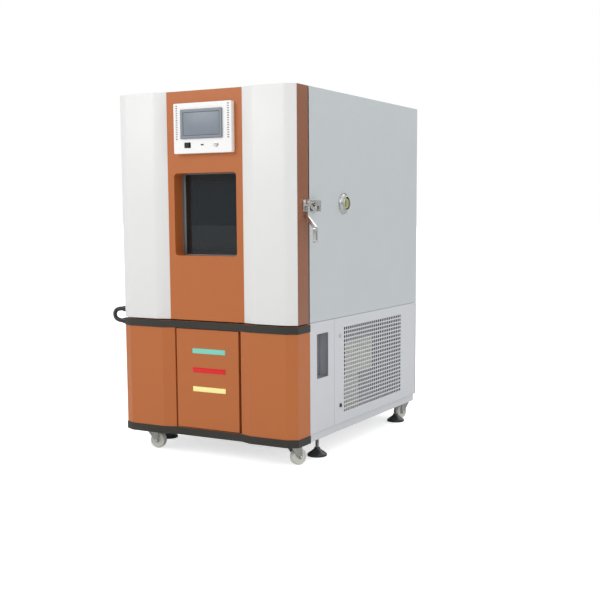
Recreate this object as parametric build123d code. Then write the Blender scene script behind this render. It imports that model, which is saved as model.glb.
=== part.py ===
from build123d import *
import os
from math import cos, sin, radians

# Environmental test chamber: a floor-standing cabinet with an insulated door over a machine room.
# It is drawn in millimetres with x across the front from the middle, y going back from the front
# flats of the door, and z up from the lower edge of the cabinet. save() moves each piece to the
# part's own frame, which has its origin on the floor under the middle of the cabinet, +Z up.

os.makedirs("parts", exist_ok=True)

# Cabinet
cabinet_width = 800
ground_gap = 79          # floor to the lower edge of the cabinet
lower_height = 459       # lower edge to the joint between machine room and test space
rear_space = 215         # behind the foam, for the fan motor
sheet = 1.5              # casing sheet
skin = 2.0               # front skins of door and fascia
seam = 2.5               # gap round the lower door
panel_gap = 1.4          # gap between the panels of the machine room
air = 0.3                # gap between pieces that lie close without touching
fit = 0.05               # radial clearance of a pin in its hole
panel_fold = 15          # depth of the folded edges of removable panels

# Front form, seen from above
outer_bevel_width = 40
outer_bevel_depth = 21
recess_depth = 17
recess_width = 342       # orange middle of the upper door
inner_bevel_width = 55
bay_recess_width = 306   # narrower middle of the lower fascia
bay_bevel_width = 49
door_depth = 106
gasket_gap = 8

# Trim bands
low_band_height = 30
mid_band_height = 28
door_floor_gap = 5
band_proud = 2.5

# Test space
side_wall = 150          # outer face of the casing to the opening
sill_height = 107        # joint to the opening
opening_height = 600
head_height = 166        # opening to the roof
liner_sheet = 1.5
liner_depth = 700
plenum_depth = 200       # behind the air baffle
insulation_back = 98     # foam behind the liner
plug_depth = 45          # step of the door that enters the opening
plug_gap = 10

# Window
window_width = 284
window_height = 315
window_radius = 14
glass_set_back = 55      # from the recessed skin to the outer pane
pane = 5
frame_width = 30
frame_wall = 2

# Control panel
housing_width = 262
housing_height = 188
housing_drop = 236       # roof to its lower edge
housing_offset = 6       # its middle, to the right of the cabinet's
housing_proud = 20
housing_wall = 2
screen_width = 188
screen_height = 109
screen_rise = 55         # lower edge of the housing to that of the display's frame
screen_offset = 4
screen_proud = 5
glass_width = 157
glass_height = 81
glass_rise = 15          # from the lower edge of the frame to the display
vent_count = 15
vent_pitch = 8.8
vent_length = 9
vent_height = 3
vent_rise = 54
vent_inset = 14
switch_rise = 31         # lower edge of the housing to the line of rocker, socket and button
rocker_x, socket_x, button_x = -61, 6, 69
rocker_width, rocker_height = 28.6, 20.8
rocker_rim = 3.5
socket_width, socket_height = 12, 5
fitting_proud = 1.5
button_radius = 7.5
collar_radius = 11
button_travel = 3

# Door latch on the right side
latch_y = 84
latch_rise = 40          # above the middle of the opening
roller_y = 134
roller_radius = 6
latch_plate = 4
hook_gap = 1
hook_width = 7
lever_thickness = 8
lever_width = 13
keeper_wall = 10
knee_reach = 3           # inner side of the lever's knee from the side
grip_reach = 41          # middle of the grip from the side
grip_width = 20
grip_length = 56
grip_drop = 88           # pivot to the top of the grip
knee_drop = 49

# Hinges
hinge_offset = 12        # axis outside the left side
hinge_rise = 31          # joint to the lowest hinge
hinge_drop = 120         # roof to the lower edge of the highest hinge
knuckle = 30
knuckle_radius = 8
hinge_pin = 4
leaf_length = 44

# Cable port
port_y = 392
port_rise = 41         # above the middle of the opening
port_bore = 50
port_wall = 4
port_flange = 85
port_proud = 17
plug_length = 120

# Lower door, finger gap on its right
bay_hinge_gap = 6
finger_gap = 12
bay_door_thickness = 20
jamb_depth = 35          # walls of the bay behind the recessed skin
bay_door_face = 19       # its front behind the front flats
bay_pin = 3
bar_width, bar_height, bar_pitch = 152, 19.5, 75
bar_offset = 5
bar_drop = 247           # trim band to the lower edge of the lowest bar
bar_thickness = 1.5

# Lower right side
service_seam = 311
pocket_y, pocket_width = 168, 92
pocket_drop, pocket_height, pocket_depth = 220, 172, 45
grille_front, grille_rear = 82, 170      # service seam to grille, grille to the rear
grille_rise, grille_drop = 39, 40        # deck to grille, grille to the joint
slot_columns, slot_rows = 15, 7
slot_bar = 7             # metal left between slots
cam_inset = 53           # service seam to the cam locks
cam_rise, cam_drop = 74, 73
cam_radius = 8
tongue_length = 68
service_pin = 3

# Base, casters and levelling feet
deck = 31
rail_inset = 7.5
rail_wall = 3
deck_sheet = 2
rail_back = 9
foot_inset = 40
foot_front, foot_rear = 240, 134
foot_pad = 78
foot_stem = 7
stem_top = 133          # end of the stem above the floor
lock_nut = 7
foot_travel = 25
caster_left, caster_right = 99, 44       # swivel axes from the cabinet's sides
caster_front, caster_rear = 63, 40
wheel_diameter = 64
wheel_width = 27
wheel_lift = 0.5         # wheels just off the floor while the feet carry
trail = 20
axle_radius = 4
king_radius = 6
fork_plate = 2.5
caster_plate = 3
caster_length, caster_width = 68, 60
crown_height = 11.7
bridge = 3.5             # thickness of the fork's top
pad_height = 8           # underside of the caster pads above the lower edge
front_turns = (10, 66)   # where the front casters trail, in degrees from +X
rear_turns = (200, 250)

# Air circulation and machine room
fan_drop = 156           # top of the opening to the shaft
fan_radius = 105
fan_width = 50
fan_shaft = 8
fan_blades = 12
machine_rear = 480       # middle of the condenser to the rear
condenser_inset = 30
condenser_drop = 59      # joint to the top of the condenser
condenser_length = 340
condenser_fan_radius = 120
condenser_shaft = 5

# Conduit on the left
conduit_y = 45
conduit_radius = 8.5
conduit_drop, conduit_rise = 21, 28      # its ends below and above the joint
conduit_reach = 82       # outermost edge from the cabinet's side
gland_length = 30

half_width = cabinet_width / 2
front_plane = door_depth + gasket_gap
opening_width = cabinet_width - 2 * side_wall
opening_floor = lower_height + sill_height
opening_top = opening_floor + opening_height
opening_middle = (opening_floor + opening_top) / 2
body_height = opening_top + head_height
door_floor = lower_height
band_top = lower_height - door_floor_gap
fascia_top = band_top - mid_band_height
skin_back = recess_depth + skin
liner_front = front_plane + sheet
liner_back = liner_front + liner_depth
baffle_front = liner_back - plenum_depth
foam_back = liner_back + liner_sheet + insulation_back
cabinet_depth = foam_back + rear_space
housing_floor = body_height - housing_drop
screen_floor = housing_floor + screen_rise
vent_floor = housing_floor + vent_rise
switch_z = housing_floor + switch_rise
latch_z = opening_middle + latch_rise
knee_z = latch_z - knee_drop
grip_top = latch_z - grip_drop
grip_floor = grip_top - grip_length
grip_x = half_width + grip_reach
knee_x = half_width + knee_reach
lowest_hinge = lower_height + hinge_rise
highest_hinge = body_height - hinge_drop
hinge_heights = (lowest_hinge, (lowest_hinge + highest_hinge) / 2, highest_hinge)
port_z = opening_middle + port_rise
bar_floor = fascia_top - bar_drop
pocket_floor = lower_height - pocket_drop
grille_y = service_seam + grille_front
grille_length = cabinet_depth - grille_rear - grille_y
grille_floor = deck + grille_rise
grille_height = lower_height - grille_drop - grille_floor
cam_y = service_seam + cam_inset
cam_heights = (deck + cam_rise, lower_height - cam_drop)
foot_x = half_width - foot_inset
foot_y = (foot_front, cabinet_depth - foot_rear)
caster_x = (caster_left - half_width, half_width - caster_right)
caster_y = (caster_front, cabinet_depth - caster_rear)
fan_z = opening_top - fan_drop
machine_y = cabinet_depth - machine_rear
conduit_low = lower_height - conduit_drop
conduit_high = lower_height + conduit_rise


def block(x0, x1, y0, y1, z0, z1):
    return Pos((x0 + x1) / 2, (y0 + y1) / 2, (z0 + z1) / 2) * Box(x1 - x0, y1 - y0, z1 - z0)


def rod(axis, radius, start, end, a, b):
    # a cylinder along one axis; a and b are its other two coordinates, in x, y, z order
    middle, length = (start + end) / 2, end - start
    if axis == "x":
        return Pos(middle, a, b) * Rot(0, 90, 0) * Cylinder(radius, length)
    if axis == "y":
        return Pos(a, middle, b) * Rot(90, 0, 0) * Cylinder(radius, length)
    return Pos(a, b, middle) * Cylinder(radius, length)


def window_prism(y0, y1, grow):
    # rounded window outline through the door, larger all round by grow
    corner = max(window_radius + grow, 3)
    outline = RectangleRounded(window_width + 2 * grow, window_height + 2 * grow, corner)
    return Pos(0, y1, opening_middle) * Rot(90, 0, 0) * extrude(outline, y1 - y0)


def plan(recess, bevel, push, side, back):
    # front outline seen from above: its front set back by push, its sides set in by side
    edge = half_width - side
    flat = half_width - outer_bevel_width
    corner = outer_bevel_depth * max(edge - flat, 0) / outer_bevel_width
    right = [
        (recess / 2, recess_depth + push),
        (recess / 2 + bevel, push),
        (flat, push),
        (edge, corner + push),
        (edge, back),
    ]
    points = [(-x, y) for x, y in reversed(right)] + right
    return make_face(Polyline(*points, close=True))


def door_plan(push, side, back):
    return plan(recess_width, inner_bevel_width, push, side, back)


def fascia_plan(push, side, back):
    return plan(bay_recess_width, bay_bevel_width, push, side, back)


def prism(face, z0, z1):
    return Pos(0, 0, z0) * extrude(face, z1 - z0)


def save(node, *solids):
    pieces = []
    for shape in solids:
        moved = Pos(0, -cabinet_depth / 2, ground_gap) * shape
        pieces.extend(moved.solids())
    export_step(Compound(children=pieces), f"parts/{node}.step")


# Base frame: deck, side rails, cross channels, corner posts, caster pads and foot bosses

def base_frame():
    edge = half_width - rail_inset
    rear = cabinet_depth - rail_back
    front = front_plane + seam
    floor = deck - deck_sheet
    frame = block(-edge, edge, front, rear, floor, deck)
    frame += block(-edge + 5, edge - 5, recess_depth + jamb_depth + air, front, floor, deck)
    for side in (-1, 1):
        a, b = sorted((side * edge, side * (edge - rail_wall)))
        frame += block(a, b, front, rear, 0, deck)
        a, b = sorted((side * (edge - 14), side * (edge - 42)))
        frame += block(a, b, front + 4, front + 32, deck, lower_height)
        frame += block(a, b, rear - 30, cabinet_depth - sheet - air, deck, lower_height)
    frame += block(-edge, edge, rear - rail_wall, rear, 0, deck)
    for y in foot_y:
        for wall in (y - 30, y + 30 - rail_wall):
            frame += block(-edge, edge, wall, wall + rail_wall, 5, deck)
        for side in (-1, 1):
            frame += rod("z", 15, 5, deck, side * foot_x, y)
            nut = extrude(RegularPolygon(11, 6), lock_nut + 1)
            frame += Pos(side * foot_x, y, 5 - lock_nut) * nut
    for x in caster_x:
        for y in caster_y:
            a, b = caster_length / 2, caster_width / 2
            pad = block(x - a, x + a, y - b, y + b, pad_height, deck)
            frame += pad - block(x - a + 3, x + a - 3, y - b - 1, y + b + 1, pad_height + 4, deck)
    for y in foot_y:
        for side in (-1, 1):
            frame -= rod("z", foot_stem + fit, -lock_nut, deck + 1, side * foot_x, y)
    return frame


def caster_plates():
    plates = []
    for x in caster_x:
        for y in caster_y:
            top = pad_height
            low = top - caster_plate
            a, b = caster_length / 2, caster_width / 2
            plate = block(x - a, x + a, y - b, y + b, low, top)
            plate += rod("z", king_radius, crown_low - 1, low, x, y)
            plate += rod("z", king_radius + 3, crown_low - 3, crown_low - air, x, y)
            plates.append(plate)
    return plates


# Casters: a swivelling fork with its axle, and the wheel on it

axle_z = -ground_gap + wheel_lift + wheel_diameter / 2
crown_top = pad_height - caster_plate - air
crown_low = crown_top - crown_height


def placed(shape, x, y, turn):
    return Pos(x, y, 0) * Rot(0, 0, turn) * shape


def caster_fork(x, y, turn):
    inner = wheel_width / 2 + 1.5
    outer = inner + fork_plate
    fork = rod("z", 22, crown_low, crown_top, 0, 0)
    fork += block(-22, 26, -outer, outer, crown_low, crown_low + bridge)
    top = Pos(2, crown_low + bridge / 2) * Rectangle(48, bridge)
    outline = make_hull(top.edges() + (Pos(trail, axle_z) * Circle(9)).edges())
    for start in (inner, -inner - fork_plate):
        leg = extrude(Rot(90, 0, 0) * outline, -fork_plate)
        fork += Pos(0, start, 0) * leg
    fork += rod("y", axle_radius, -inner - 4, inner + 4, trail, axle_z)
    for side in (-1, 1):
        a, b = sorted((side * (inner + fork_plate), side * (inner + fork_plate + 3)))
        fork += rod("y", 7, a, b, trail, axle_z)
    fork -= rod("z", king_radius + fit, crown_low - 1, crown_top + 1, 0, 0)
    return placed(fork, x, y, turn)


def caster_wheel(x, y, turn):
    half = wheel_width / 2
    rim = wheel_diameter / 2
    profile = Polyline(
        (axle_radius + fit, -half - 0.7), (10, -half - 0.7), (11, -half + 2.5), (rim - 9, -half + 2.5),
        (rim - 7, -half), (rim - 3, -half), (rim, -half + 6), (rim, half - 6), (rim - 3, half),
        (rim - 7, half), (rim - 9, half - 2.5), (11, half - 2.5), (10, half + 0.7),
        (axle_radius + fit, half + 0.7), close=True,
    )
    wheel = Rot(90, 0, 0) * revolve(Rot(90, 0, 0) * make_face(profile), Axis.Z)
    return placed(Pos(trail, 0, axle_z) * wheel, x, y, turn)


# Levelling foot: bell-shaped pad and threaded stem

def levelling_foot(x, y):
    rim = foot_pad / 2
    outline = Polyline(
        (0, 0), (rim - 2, 0), (rim, 2.5), (rim, 7), (rim - 3, 11), (rim - 10, 17), (rim - 20, 23),
        (13, 28), (11, 34), (foot_stem, 35), (foot_stem, stem_top), (0, stem_top), close=True,
    )
    return Pos(x, y, -ground_gap) * revolve(Rot(90, 0, 0) * make_face(outline), Axis.Z)


# Upper casing: wrapper of the test space, with the cable port's hole and the joint plate below

def upper_casing():
    low, top = lower_height, body_height
    shell = block(-half_width, half_width, front_plane, cabinet_depth, low, top)
    hollow = block(
        -half_width + sheet, half_width - sheet, front_plane - 1, cabinet_depth + 1,
        low + sheet, top - sheet,
    )
    hole = rod("x", port_bore / 2 + port_wall, half_width - 9, half_width + 9, port_y, port_z)
    return shell - hollow - hole


def front_frame():
    edge = half_width - sheet
    plate = block(
        -edge, edge, front_plane, front_plane + sheet, lower_height + sheet, body_height - sheet
    )
    hole = block(
        -opening_width / 2, opening_width / 2, front_plane - 1, front_plane + sheet + 1,
        opening_floor, opening_top,
    )
    return plate - hole


def insulation():
    edge = half_width - sheet
    foam = block(
        -edge, edge, front_plane + sheet, foam_back, lower_height + sheet, body_height - sheet
    )
    hollow = block(
        -opening_width / 2 - liner_sheet, opening_width / 2 + liner_sheet, front_plane,
        foam_back - insulation_back, opening_floor - liner_sheet, opening_top + liner_sheet,
    )
    hole = rod("x", port_bore / 2 + port_wall, 0, half_width, port_y, port_z)
    shaft = rod("y", fan_shaft + 4, foam_back - insulation_back - 1, foam_back + 1, 0, fan_z)
    return foam - hollow - hole - shaft


def inner_liner():
    wide = opening_width / 2
    shell = block(
        -wide - liner_sheet, wide + liner_sheet, liner_front, liner_back + liner_sheet,
        opening_floor - liner_sheet, opening_top + liner_sheet,
    )
    shell -= block(-wide, wide, liner_front - 1, liner_back, opening_floor, opening_top)
    shell -= rod("x", port_bore / 2 + port_wall, wide - 9, wide + 9, port_y, port_z)
    return shell - rod("y", fan_shaft + 4, liner_back - 9, liner_back + 9, 0, fan_z)


shelf_levels = [opening_floor + share * opening_height for share in (0.257, 0.64)]
rail_hook = 12


def shelf_rails():
    # slotted uprights on both walls, with one bearer under each shelf end
    rails = []
    wide = opening_width / 2
    for side in (-1, 1):
        for y in (liner_front + 70, baffle_front - 60):
            a, b = sorted((side * wide, side * (wide - 3)))
            rail = block(a, b, y, y + 20, opening_floor, opening_top)
            for level in shelf_levels:
                c, d = sorted((side * (wide - 3), side * (wide - rail_hook)))
                rail += block(c, d, y + 4, y + 16, level - 3, level)
            rails.append(rail)
    return rails


def wire_shelf(level):
    # two end bars, a front and a rear bar, cross bars and the wires on top of them
    wire, bar = 1.5, 3
    wide = opening_width / 2 - 7
    front = liner_front + 60
    back = baffle_front - 30
    shelf = block(-wide, wide, front, front + 2 * bar, level, level + 2 * bar)
    for y in ((front + back) / 2, back - bar):
        shelf += block(-wide, wide, y - bar, y + bar, level, level + 2 * bar)
    for x in (-wide + bar, wide - bar):
        shelf += block(x - bar, x + bar, front, back, level, level + 2 * bar)
    count = 12
    step = (2 * wide - 2 * bar) / (count + 1)
    for i in range(count):
        x = -wide + bar + step * (i + 1)
        shelf += block(x - wire, x + wire, front, back, level + 2 * bar - 1, level + 2 * bar + 2)
    return shelf


def air_baffle():
    wide = opening_width / 2 - air
    y = baffle_front
    pitch = opening_width / 8
    plate = block(-wide, wide, y, y + liner_sheet, opening_floor + air, opening_top - air)
    plate -= rod("y", fan_radius - 20, y - 1, y + 5, 0, fan_z)
    for i in range(7):
        x0, x1 = (i - 3.4) * pitch, (i - 2.6) * pitch
        plate -= block(x0, x1, y - 1, y + 5, opening_top - 40, opening_top - 20)
        plate -= block(x0, x1, y - 1, y + 5, opening_floor + 20, opening_floor + 40)
    for side in (-1, 1):
        a, b = sorted((side * wide, side * (wide - 14)))
        plate += block(a, b, y + liner_sheet, y + 3, opening_floor + air, opening_top - air)
    return plate


def circulation_fan():
    # centrifugal wheel on the long shaft that passes through the foam to its motor
    y = baffle_front + 40
    wheel = rod("y", fan_radius, y + fan_width, y + fan_width + 2, 0, fan_z)
    wheel += rod("y", fan_radius, y - 2, y, 0, fan_z) - rod("y", fan_radius - 24, y - 3, y + 1, 0, fan_z)
    wheel += rod("y", 20, y + 10, y + fan_width, 0, fan_z)
    for i in range(fan_blades):
        blade = Pos(fan_radius - 13, 0, 0) * Rot(0, 35, 0) * Box(24, fan_width, 1.6)
        turned = Rot(0, 360 / fan_blades * i, 0) * blade
        wheel += Pos(0, y + fan_width / 2, fan_z) * turned
    wheel += rod("y", fan_shaft, y + 10, foam_back + 50, 0, fan_z)
    return wheel


def fan_motor():
    y = foam_back + 8
    motor = rod("y", 62, y, y + 100, 0, fan_z) + rod("y", 40, y + 100, y + 112, 0, fan_z)
    motor += block(-75, 75, foam_back, y, fan_z - 75, fan_z + 75)
    motor += block(30, 74, y + 30, y + 75, fan_z - 30, fan_z + 30)
    return motor - rod("y", fan_shaft + fit, foam_back - 1, foam_back + 52, 0, fan_z)


def conditioning_coils():
    # heater rods above and the finned evaporator below, both behind the baffle
    wide = opening_width / 2
    y0, y1 = baffle_front + 60, baffle_front + 140
    low = opening_floor + 60
    high = low + opening_height / 3
    core = block(50 - wide, wide - 50, y0, y1, low, high)
    pitch = (wide - 66) / 4
    for i in range(9):
        x = (i - 4) * pitch
        core -= block(x - 0.37 * pitch, x + 0.37 * pitch, y0 - 1, y0 + 4, low + 12, high - 12)
    core += block(4 - wide, wide - 4, y0 + 10, y0 + 40, low - 12, low)
    for side in (-1, 1):
        a, b = sorted((side * (wide - air), side * (wide - 10)))
        core += block(a, b, y0 + 10, y0 + 40, low - 12, low + 20)
    heaters = []
    for i in range(3):
        level = fan_z + fan_radius + 12 * (i + 1)
        heaters.append(rod("x", 4, air - wide, wide - air, y0, level))
    return [core] + heaters


# Cable port: flange and tube through the side wall, and its silicone plug

def port_flange_tube():
    inner, tube = port_bore / 2, port_bore / 2 + port_wall
    inside = opening_width / 2 - 3
    body = rod("x", port_flange / 2, half_width, half_width + 3, port_y, port_z)
    body += rod("x", tube - air, inside, half_width + port_proud, port_y, port_z)
    body += rod("x", tube + 2, half_width + 3, half_width + 9, port_y, port_z)
    return body - rod("x", inner, inside - 1, half_width + port_proud + 1, port_y, port_z)


def port_plug():
    radius = port_bore / 2 - air
    outer = half_width + port_proud - 3
    plug = rod("x", radius, outer - plug_length, outer, port_y, port_z)
    dish = rod("x", radius - 6, outer - 5, outer + 1, port_y, port_z)
    tab = block(outer - 6, outer + 2, port_y - 2.5, port_y + 2.5, port_z - 15, port_z + 15)
    return plug - dish + tab


# Lower front: fascia with the bay for the water tank, trim bands, lower door

def lower_fascia():
    back = front_plane - air
    shell = prism(fascia_plan(0, 0, back), 0, band_top)
    hollow = prism(fascia_plan(skin, skin, back + 1), -1, band_top - skin)
    shell -= hollow
    bay = bay_recess_width / 2
    shell -= block(-bay, bay, -1, recess_depth + skin + 1, low_band_height, fascia_top)
    back = recess_depth + jamb_depth
    jamb = block(-bay - skin, bay + skin, recess_depth, back, low_band_height - skin, fascia_top + skin)
    jamb -= block(-bay, bay, recess_depth - 1, back + 1, low_band_height, fascia_top)
    return shell + jamb


def trim_bands():
    bands = []
    back = front_plane - air
    for low, high in ((0, low_band_height), (fascia_top, band_top)):
        band = prism(fascia_plan(-band_proud, -band_proud, back), low, high)
        bands.append(band - prism(fascia_plan(0, 0, back + 1), low - 1, high + 1))
    return bands


bay_left = -bay_recess_width / 2 + bay_hinge_gap
bay_right = bay_recess_width / 2 - finger_gap
bay_axis_x = bay_left + 8
bay_axis_y = bay_door_face + bay_door_thickness / 2
bay_low, bay_high = low_band_height + seam, fascia_top - seam


def lower_door():
    wall = 1.5
    tray = block(bay_left, bay_right, bay_door_face, bay_door_face + bay_door_thickness, bay_low, bay_high)
    tray -= block(
        bay_left + wall, bay_right - wall, bay_door_face + wall, bay_door_face + bay_door_thickness + 1,
        bay_low + wall, bay_high - wall,
    )
    tray -= rod("z", bay_pin + fit, bay_low - 1, bay_high + 1, bay_axis_x, bay_axis_y)
    return tray


def colour_bars():
    bars = []
    for i in range(3):
        low = bar_floor + i * bar_pitch
        bars.append(block(
            bar_offset - bar_width / 2, bar_offset + bar_width / 2,
            bay_door_face - bar_thickness, bay_door_face, low, low + bar_height,
        ))
    return bars


def water_tank():
    top = lower_height - 159
    tank = block(-130, 110, 70, 290, deck, top)
    tank = fillet(tank.edges().filter_by(Axis.Z), 18)
    return tank + rod("z", 26, top, top + 16, -70, 130)


# Lower right side: fixed panel with its pocket, and the vented service door with two cam locks

side_low, side_high = deck + panel_gap, lower_height - panel_gap


def folded_panel(y0, y1, side):
    # a side panel with its edges folded inwards
    a, b = sorted((side * half_width, side * (half_width - panel_fold)))
    panel = block(a, b, y0, y1, side_low, side_high)
    c, d = sorted((side * (half_width - sheet), side * (half_width - panel_fold - 1)))
    return panel - block(c, d, y0 + sheet, y1 - sheet, side_low + sheet, side_high - sheet)


def right_front_panel():
    panel = folded_panel(front_plane, service_seam - panel_gap / 2, 1)
    y0, y1 = pocket_y, pocket_y + pocket_width
    z0, z1 = pocket_floor, pocket_floor + pocket_height
    inner = half_width - pocket_depth
    panel += block(inner - sheet, half_width, y0 - sheet, y1 + sheet, z0 - sheet, z1 + sheet)
    return panel - block(inner, half_width + 1, y0, y1, z0, z1)


def strike_flange():
    # fixed flange behind the seam, which the cam tongues close on
    y = service_seam - panel_gap / 2
    x = half_width - panel_fold
    return block(x - 2, x, y - 16, y, side_low, side_high)


service_axis_x = half_width - 7.5
service_axis_y = cabinet_depth - 13.5


def service_door():
    y0, y1 = service_seam + panel_gap / 2, cabinet_depth - 6
    door = folded_panel(y0, y1, 1)
    step_y, step_z = grille_length / slot_columns, grille_height / slot_rows
    for i in range(slot_columns):
        for j in range(slot_rows):
            y = grille_y + i * step_y
            z = grille_floor + j * step_z
            door -= block(
                half_width - 5, half_width + 1, y + slot_bar / 2, y + step_y - slot_bar / 2,
                z + slot_bar / 2, z + step_z - slot_bar / 2,
            )
    door -= rod("z", service_pin + fit, side_low - 1, side_high + 1, service_axis_x, service_axis_y)
    for z in cam_heights:
        door -= rod("x", cam_radius - 2 + fit, half_width - 5, half_width + 1, cam_y, z)
    return door


def cam_lock(z):
    face = half_width
    lock = rod("x", cam_radius, face + air, face + 4, cam_y, z)
    lock += rod("x", cam_radius - 2, face - panel_fold - 3, face + air, cam_y, z)
    x = face - panel_fold - 5
    tongue = block(x - 2.5, x, cam_y - 8, cam_y + 8, z - 8, z - 8 + tongue_length)
    lock += tongue + rod("x", 6, x - 5, x + 3, cam_y, z)
    return lock - block(face + 3, face + 5, cam_y - 1, cam_y + 1, z - 6, z + 6)


def left_lower_panel():
    panel = folded_panel(front_plane, cabinet_depth - 6, -1)
    pitch = (side_high - side_low - 111) / 6
    for column in range(3):
        for row in range(6):
            y = machine_y - 155 + column * 110
            z = side_low + 56.5 + row * pitch
            panel -= block(-half_width - 1, -half_width + 5, y, y + 90, z, z + 14)
    return panel


def rear_panels():
    edge = half_width - sheet
    rear = cabinet_depth
    rows = 8
    upper = block(-edge, edge, rear - sheet, rear, lower_height + sheet, body_height - sheet)
    for row in range(rows):
        z = body_height - 202 + row * 18
        upper -= block(-90, 90, rear - 5, rear + 1, z, z + 6)
    lower = block(-half_width, half_width, rear - sheet, rear, side_low, side_high)
    pitch = (side_high - side_low - 135) / rows
    for x in (-190, 190):
        for row in range(rows):
            z = side_low + 76.5 + row * pitch
            lower -= block(x - 110, x + 110, rear - 5, rear + 1, z, z + 12)
    x, z = half_width - 70, deck + 39
    gland = rod("y", 14, rear, rear + 12, x, z) + rod("y", 9, rear - sheet, rear + 16, x, z)
    drain = rod("y", 10, rear, rear + 6, -x, z) + rod("y", 6, rear - sheet, rear + 18, -x, z)
    lower -= rod("y", 9, rear - 5, rear + 5, x, z) + rod("y", 6, rear - 5, rear + 5, -x, z)
    drain -= rod("y", 4, rear - 5, rear + 20, -x, z)
    return [upper, lower, gland, drain]


# Machine room

def compressor():
    x, y = 80, machine_y - 10
    can = rod("z", 92, deck + 24, deck + 230, x, y)
    can = fillet(can.edges(), 26)
    feet = block(x - 110, x + 110, y - 110, y + 110, deck + 18, deck + 24)
    for a in (-1, 1):
        for b in (-1, 1):
            feet += rod("z", 12, deck, deck + 18, x + a * 94, y + b * 94)
    can += rod("z", 40, deck + 20, deck + 40, x, y)
    can += block(x + 70, x + 112, y - 34, y + 34, deck + 110, deck + 180)
    return can + feet


condenser_x = condenser_inset - half_width
condenser_top = lower_height - condenser_drop
condenser_fan_z = (deck + 20 + condenser_top) / 2


def condenser():
    # finned block and its fan shroud on a plinth, on the left behind the louvres
    x0, low, high = condenser_x, deck, condenser_top
    y0, y1 = machine_y - condenser_length / 2, machine_y + condenser_length / 2
    core = block(x0, x0 + 50, y0, y1, low, high)
    for i in range(12):
        y = y0 + 16 + i * 26.5
        core -= block(x0 - 1, x0 + 6, y, y + 17, low + 34, high - 14)
    shroud = block(x0 + 50, x0 + 95, y0, y1, low, high)
    shroud -= rod("x", condenser_fan_radius + 6, x0 + 49, x0 + 96, machine_y, condenser_fan_z)
    bar = block(x0 + 88, x0 + 94, y0 + 10, y1 - 10, condenser_fan_z - 10, condenser_fan_z + 10)
    motor = rod("x", 36, x0 + 88, x0 + 130, machine_y, condenser_fan_z)
    body = core + shroud + bar + motor
    return body - rod("x", condenser_shaft + fit, x0 + 60, x0 + 125, machine_y, condenser_fan_z)


def condenser_fan():
    x, reach = condenser_x + 62, condenser_fan_radius
    fan = rod("x", 26, x - 6, x + 20, machine_y, condenser_fan_z)
    fan += rod("x", condenser_shaft, x, x + 50, machine_y, condenser_fan_z)
    for i in range(5):
        blade = Pos(6, 0, reach / 2 + 10) * Rot(0, 0, 28) * Box(2, 62, reach - 22)
        fan += Pos(x, machine_y, condenser_fan_z) * (Rot(72 * i, 0, 0) * blade)
    return fan


def electrical_box():
    # ribbed cream enclosure seen through the grille, on a bracket from the deck
    x0, x1 = half_width - 130, half_width - 50
    y0, y1 = machine_y - 140, machine_y + 110
    z0, z1 = lower_height - 261, lower_height - 117
    box = block(x0, x1, y0, y1, z0, z1)
    for i in range(4):
        z = z0 + 14 + i * 32
        box -= block(x1 - 6, x1 + 1, y0 + 60, y1 - 12, z, z + 20)
    bracket = block(x0 + 20, x0 + 26, y0 + 20, y1 - 20, deck, z0)
    bracket += block(x0 + 20, x0 + 60, y0 + 20, y1 - 20, deck, deck + 4)
    return box + bracket


# Upper door

def door_shell():
    low, high = door_floor, body_height
    shell = prism(door_plan(skin, 0, door_depth), low, high)
    hollow = block(
        -half_width + sheet, half_width - sheet, -1, door_depth + 1, low + sheet, high - sheet
    )
    return shell - hollow


def front_panels():
    panels = []
    whole = prism(door_plan(0, 0, door_depth), door_floor, body_height)
    whole -= prism(door_plan(skin, -1, door_depth + 1), door_floor - 1, body_height + 1)
    middle = block(
        -recess_width / 2, recess_width / 2, -1, door_depth, door_floor - 1, body_height + 1
    )
    for solid in (whole - middle).solids():
        panels.append(solid)
    return panels


def door_centre_panel():
    half = recess_width / 2
    panel = block(-half, half, recess_depth, skin_back, door_floor, body_height)
    reveal = window_prism(recess_depth, recess_depth + glass_set_back, skin)
    panel += reveal
    return panel - window_prism(recess_depth - 1, recess_depth + glass_set_back + 1, 0)


def plug_box(inset, y0, y1):
    half = opening_width / 2 - plug_gap - inset
    return block(
        -half, half, y0, y1, opening_floor + plug_gap + inset, opening_top - plug_gap - inset
    )


def door_inner_panel():
    edge = half_width - sheet
    back = door_depth
    panel = block(-edge, edge, back - sheet, back, door_floor + sheet, body_height - sheet)
    panel += plug_box(0, back - sheet, back + plug_depth)
    panel -= plug_box(sheet, back - sheet - 1, back + plug_depth - sheet)
    return panel - window_prism(back, back + plug_depth + 1, 0)


def door_insulation():
    foam = prism(door_plan(skin, sheet, door_depth - sheet), door_floor + sheet, body_height - sheet)
    foam += plug_box(sheet, door_depth - sheet - 1, door_depth + plug_depth - sheet)
    return foam - window_prism(0, door_depth + plug_depth + 1, skin)


def window_frame():
    # spacer between the panes: a tube against the foam with a flange behind each pane
    y0 = recess_depth + glass_set_back + pane
    y1 = door_depth + plug_depth - sheet - pane
    tube = window_prism(y0, y1, skin) - window_prism(y0 + frame_wall, y1 - frame_wall, skin - frame_wall)
    return tube - window_prism(y0 - 1, y1 + 1, -frame_width)


def window_panes():
    y0 = recess_depth + glass_set_back
    y1 = door_depth + plug_depth - sheet
    return [window_prism(y0, y0 + pane, skin), window_prism(y1 - pane, y1, skin)]


def door_gasket():
    # hollow-section seal ring on the back of the door, around the opening
    wide, tall = opening_width / 2 + 34, opening_height / 2 + 34
    low, high, back = opening_middle - tall, opening_middle + tall, front_plane - air
    ring = block(-wide, wide, door_depth, back, low, high)
    return ring - block(-wide + 16, wide - 16, door_depth - 1, back + 1, low + 16, high - 16)


# Control panel on the door

housing_front = recess_depth - housing_proud


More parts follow.
